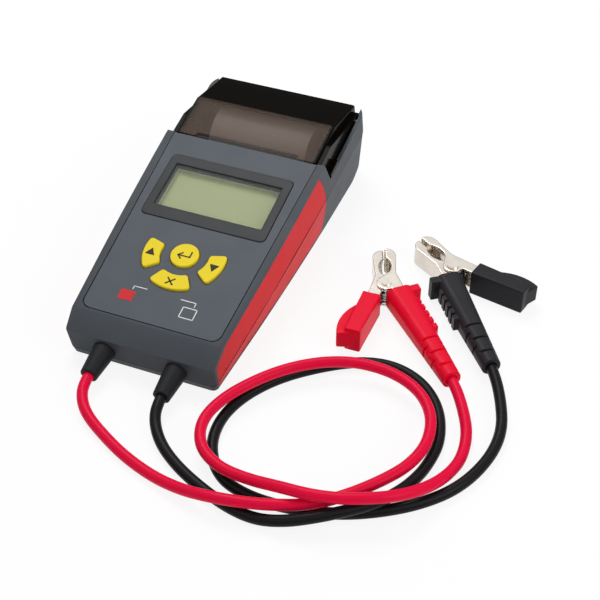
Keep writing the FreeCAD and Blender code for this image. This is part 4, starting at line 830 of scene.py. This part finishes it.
def metal(name, colour, dull, smooth, rough, streak):
    """Metal that wanders between two colours, with streaks drawn out by the streak scales."""
    material = bpy.data.materials.new(name)
    material.use_nodes = True
    tree = material.node_tree
    principled = tree.nodes["Principled BSDF"]
    place = tree.nodes.new("ShaderNodeTexCoord")
    stretch = add(tree, "ShaderNodeMapping", Scale=streak)
    streaks = add(
        tree, "ShaderNodeTexNoise", Scale=1.0, Detail=STREAK_DETAIL, Roughness=STREAK_ROUGHNESS
    )
    clouds = add(tree, "ShaderNodeTexNoise", Scale=CLOUD_SCALE, Detail=CLOUD_DETAIL)
    tone = add(tree, "ShaderNodeMix", data_type="RGBA")
    tone.inputs[MIX_A].default_value = (*colour, 1)
    tone.inputs[MIX_B].default_value = (*dull, 1)
    gloss = tree.nodes.new("ShaderNodeMapRange")
    gloss.inputs["To Min"].default_value = smooth
    gloss.inputs["To Max"].default_value = rough
    bumps = add(tree, "ShaderNodeBump", Strength=STREAK_BUMP, Distance=STREAK_DEPTH)
    link = tree.links.new
    link(place.outputs["Object"], stretch.inputs["Vector"])
    link(stretch.outputs["Vector"], streaks.inputs["Vector"])
    link(place.outputs["Object"], clouds.inputs["Vector"])
    link(clouds.outputs["Fac"], tone.inputs["Factor"])
    link(tone.outputs[MIX_RESULT], principled.inputs["Base Color"])
    link(streaks.outputs["Fac"], gloss.inputs["Value"])
    link(gloss.outputs["Result"], principled.inputs["Roughness"])
    link(streaks.outputs["Fac"], bumps.inputs["Height"])
    link(bumps.outputs["Normal"], principled.inputs["Normal"])
    principled.inputs["Metallic"].default_value = 1
    return material


NICKEL = metal(
    "nickel_plate", (0.84, 0.775, 0.7), (0.6, 0.55, 0.49), 0.12, 0.24, streak=(300, 2600, 2600)
)
STEEL = metal(
    "bright_steel", (0.6, 0.6, 0.61), (0.5, 0.5, 0.51), 0.28, 0.42, streak=(2400, 400, 2400)
)

# %% Dress the solids and the new pieces
DRESS = {
    "upper_case": CASE, "lower_case": CASE, "front_panel": PANEL, "display_bezel": BEZEL,
    "display_window": WINDOW, "lcd_frame": INNER, "lcd_panel": LCD,
    "main_board": BOARD, "keypad_mat": MAT,
    "enter_button": KEY, "escape_button": KEY, "up_button": KEY, "down_button": KEY,
    "left_trim_upper": TRIM, "left_trim_lower": TRIM,
    "right_trim_upper": TRIM, "right_trim_lower": TRIM,
    "case_screws": STEEL, "printer_cover": SMOKED, "cover_hinge_pins": STEEL, "paper_cradle": MAT,
    "paper_roll": PAPER, "paper_core": PAPER, "printer_frame": BLACKED, "thermal_head": BLACKED,
    "feed_motor": BLACKED, "motor_pinion": GEAR, "idler_gear": GEAR, "platen_shaft": STEEL,
    "platen_roller": MAT, "platen_gear": GEAR, "red_clip_rivet": NICKEL, "black_clip_rivet": NICKEL,
}


def dress(piece, material):
    """Give a piece one finish in place of all it has."""
    piece.data.materials.clear()
    piece.data.materials.append(material)


for node, material in DRESS.items():
    dress(shells.get(node, solids[node]), material)
for colour, cable, cable_finish, rubber_finish in (
    ("red", red_cable, RED_CABLE, RED_RUBBER),
    ("black", black_cable, BLACK_CABLE, BLACK_RUBBER),
):
    dress(cable, cable_finish)
    dress(rubber[f"{colour}_boot"], BOOT)
    dress(rubber[f"{colour}_sleeve"], rubber_finish)
    dress(rubber[f"{colour}_grip"], rubber_finish)
    for part in ("fixed", "moving"):
        dress(jaws[f"{colour}_{part}"], NICKEL)
    dress(springs[colour], STEEL)
for sign in key_signs:
    dress(sign, DARK_INK)
dress(tear, BLACKED)
dress(red_square, RED_INK)
for sign in (white_box, white_lines):
    dress(sign, WHITE_INK)
print("finishes", len(bpy.data.materials))

# %% [markdown]
# The photograph was taken on a white sweep under big soft lamps. The floor is white paint, and where
# the camera sees it, straight or in metal and glass, it is lifted to white while its shadow stays.
# The world behind it does the same: white where it is seen or mirrored, weaker where it lights.
# Only its low rim is dark in a mirror, as if by black cards round the table, so metal gets dark edges.

# %% Seen or mirrored
FLOOR_SIZE = 8
FLOOR_DROP = 0.02 * MM
FLOOR_PAINT = (0.97, 0.97, 0.97, 1)
SHADOW_SHARE = 0.15
FLOOR_GLOW = 1.03
WORLD_LIGHT = 0.38
CARD_LIGHT = 0.15
CARD_EDGE = math.sin(math.radians(18))
CARD_FADE = math.sin(math.radians(34))


def seen_or_mirrored(tree):
    """One for rays that come from the camera, from gloss or through glass, otherwise zero."""
    rays = tree.nodes.new("ShaderNodeLightPath")
    glossy = add(tree, "ShaderNodeMath", operation="MAXIMUM")
    seen = add(tree, "ShaderNodeMath", operation="MAXIMUM")
    tree.links.new(rays.outputs["Is Camera Ray"], glossy.inputs[0])
    tree.links.new(rays.outputs["Is Glossy Ray"], glossy.inputs[1])
    tree.links.new(glossy.outputs["Value"], seen.inputs[0])
    tree.links.new(rays.outputs["Is Transmission Ray"], seen.inputs[1])
    return seen.outputs["Value"]


# %% Floor
bpy.ops.object.select_all(action="DESELECT")
bpy.ops.mesh.primitive_plane_add(size=FLOOR_SIZE, location=(0, 0, -FLOOR_DROP))
floor = bpy.context.object
floor.name = "white_floor"
floor_white = bpy.data.materials.new("white_floor")
floor_white.use_nodes = True
tree = floor_white.node_tree
tree.nodes.remove(tree.nodes["Principled BSDF"])
paint = add(tree, "ShaderNodeBsdfDiffuse", Color=FLOOR_PAINT)
glow = add(tree, "ShaderNodeEmission", Color=WHITE, Strength=FLOOR_GLOW)
blend = tree.nodes.new("ShaderNodeMixShader")
lifted = band(tree, seen_or_mirrored(tree), 0, 1, 0, 1 - SHADOW_SHARE)
tree.links.new(lifted, blend.inputs["Fac"])
tree.links.new(paint.outputs["BSDF"], blend.inputs[1])
tree.links.new(glow.outputs["Emission"], blend.inputs[2])
tree.links.new(blend.outputs["Shader"], tree.nodes["Material Output"].inputs["Surface"])
dress(floor, floor_white)

# %% World
world = bpy.data.worlds.new("white_studio")
bpy.context.scene.world = world
world.use_nodes = True
tree = world.node_tree
sky = tree.nodes["Background"]
sky.inputs["Color"].default_value = WHITE
direction = tree.nodes.new("ShaderNodeTexCoord")
axes = tree.nodes.new("ShaderNodeSeparateXYZ")
rays = tree.nodes.new("ShaderNodeLightPath")
mirrored = add(tree, "ShaderNodeMix", data_type="FLOAT")
strength = add(tree, "ShaderNodeMix", data_type="FLOAT")
tree.links.new(direction.outputs["Object"], axes.inputs["Vector"])
tree.links.new(rays.outputs["Is Glossy Ray"], mirrored.inputs["Factor"])
mirrored.inputs["A"].default_value = 1
cards = band(tree, axes.outputs["Z"], CARD_EDGE, CARD_FADE, CARD_LIGHT, 1)
tree.links.new(cards, mirrored.inputs["B"])
tree.links.new(seen_or_mirrored(tree), strength.inputs["Factor"])
strength.inputs["A"].default_value = WORLD_LIGHT
tree.links.new(mirrored.outputs["Result"], strength.inputs["B"])
tree.links.new(strength.outputs["Result"], sky.inputs["Strength"])

# %% [markdown]
# The key lamp hangs where the tilted face mirrors it to the camera: it adds a faint sheen to the
# flat top of the cover, whose brown sheen is painted into its colour, as the dark of the rear slope
# is painted shade. A second lamp lights the side on the right.

# %% Lamps
def soft_lamp(name, place, target, width, watts):
    """Square area lamp that looks at a target."""
    bpy.ops.object.light_add(type="AREA", location=place)
    lamp = bpy.context.object
    lamp.name = name
    lamp.data.size = width
    lamp.data.energy = watts
    aim = Vector(target) - Vector(place)
    lamp.rotation_euler = aim.to_track_quat("-Z", "Y").to_euler()


soft_lamp("key_lamp", (-0.3, 0.45, 1.05), target=(0.02, 0.03, 0.03), width=0.55, watts=6.2)
soft_lamp("side_lamp", (0.9, -0.25, 0.6), target=(0.05, -0.03, 0.02), width=0.6, watts=2.8)
bpy.context.scene.view_settings.view_transform = "Standard"

# %% Last update of the scene
bpy.context.view_layer.update()
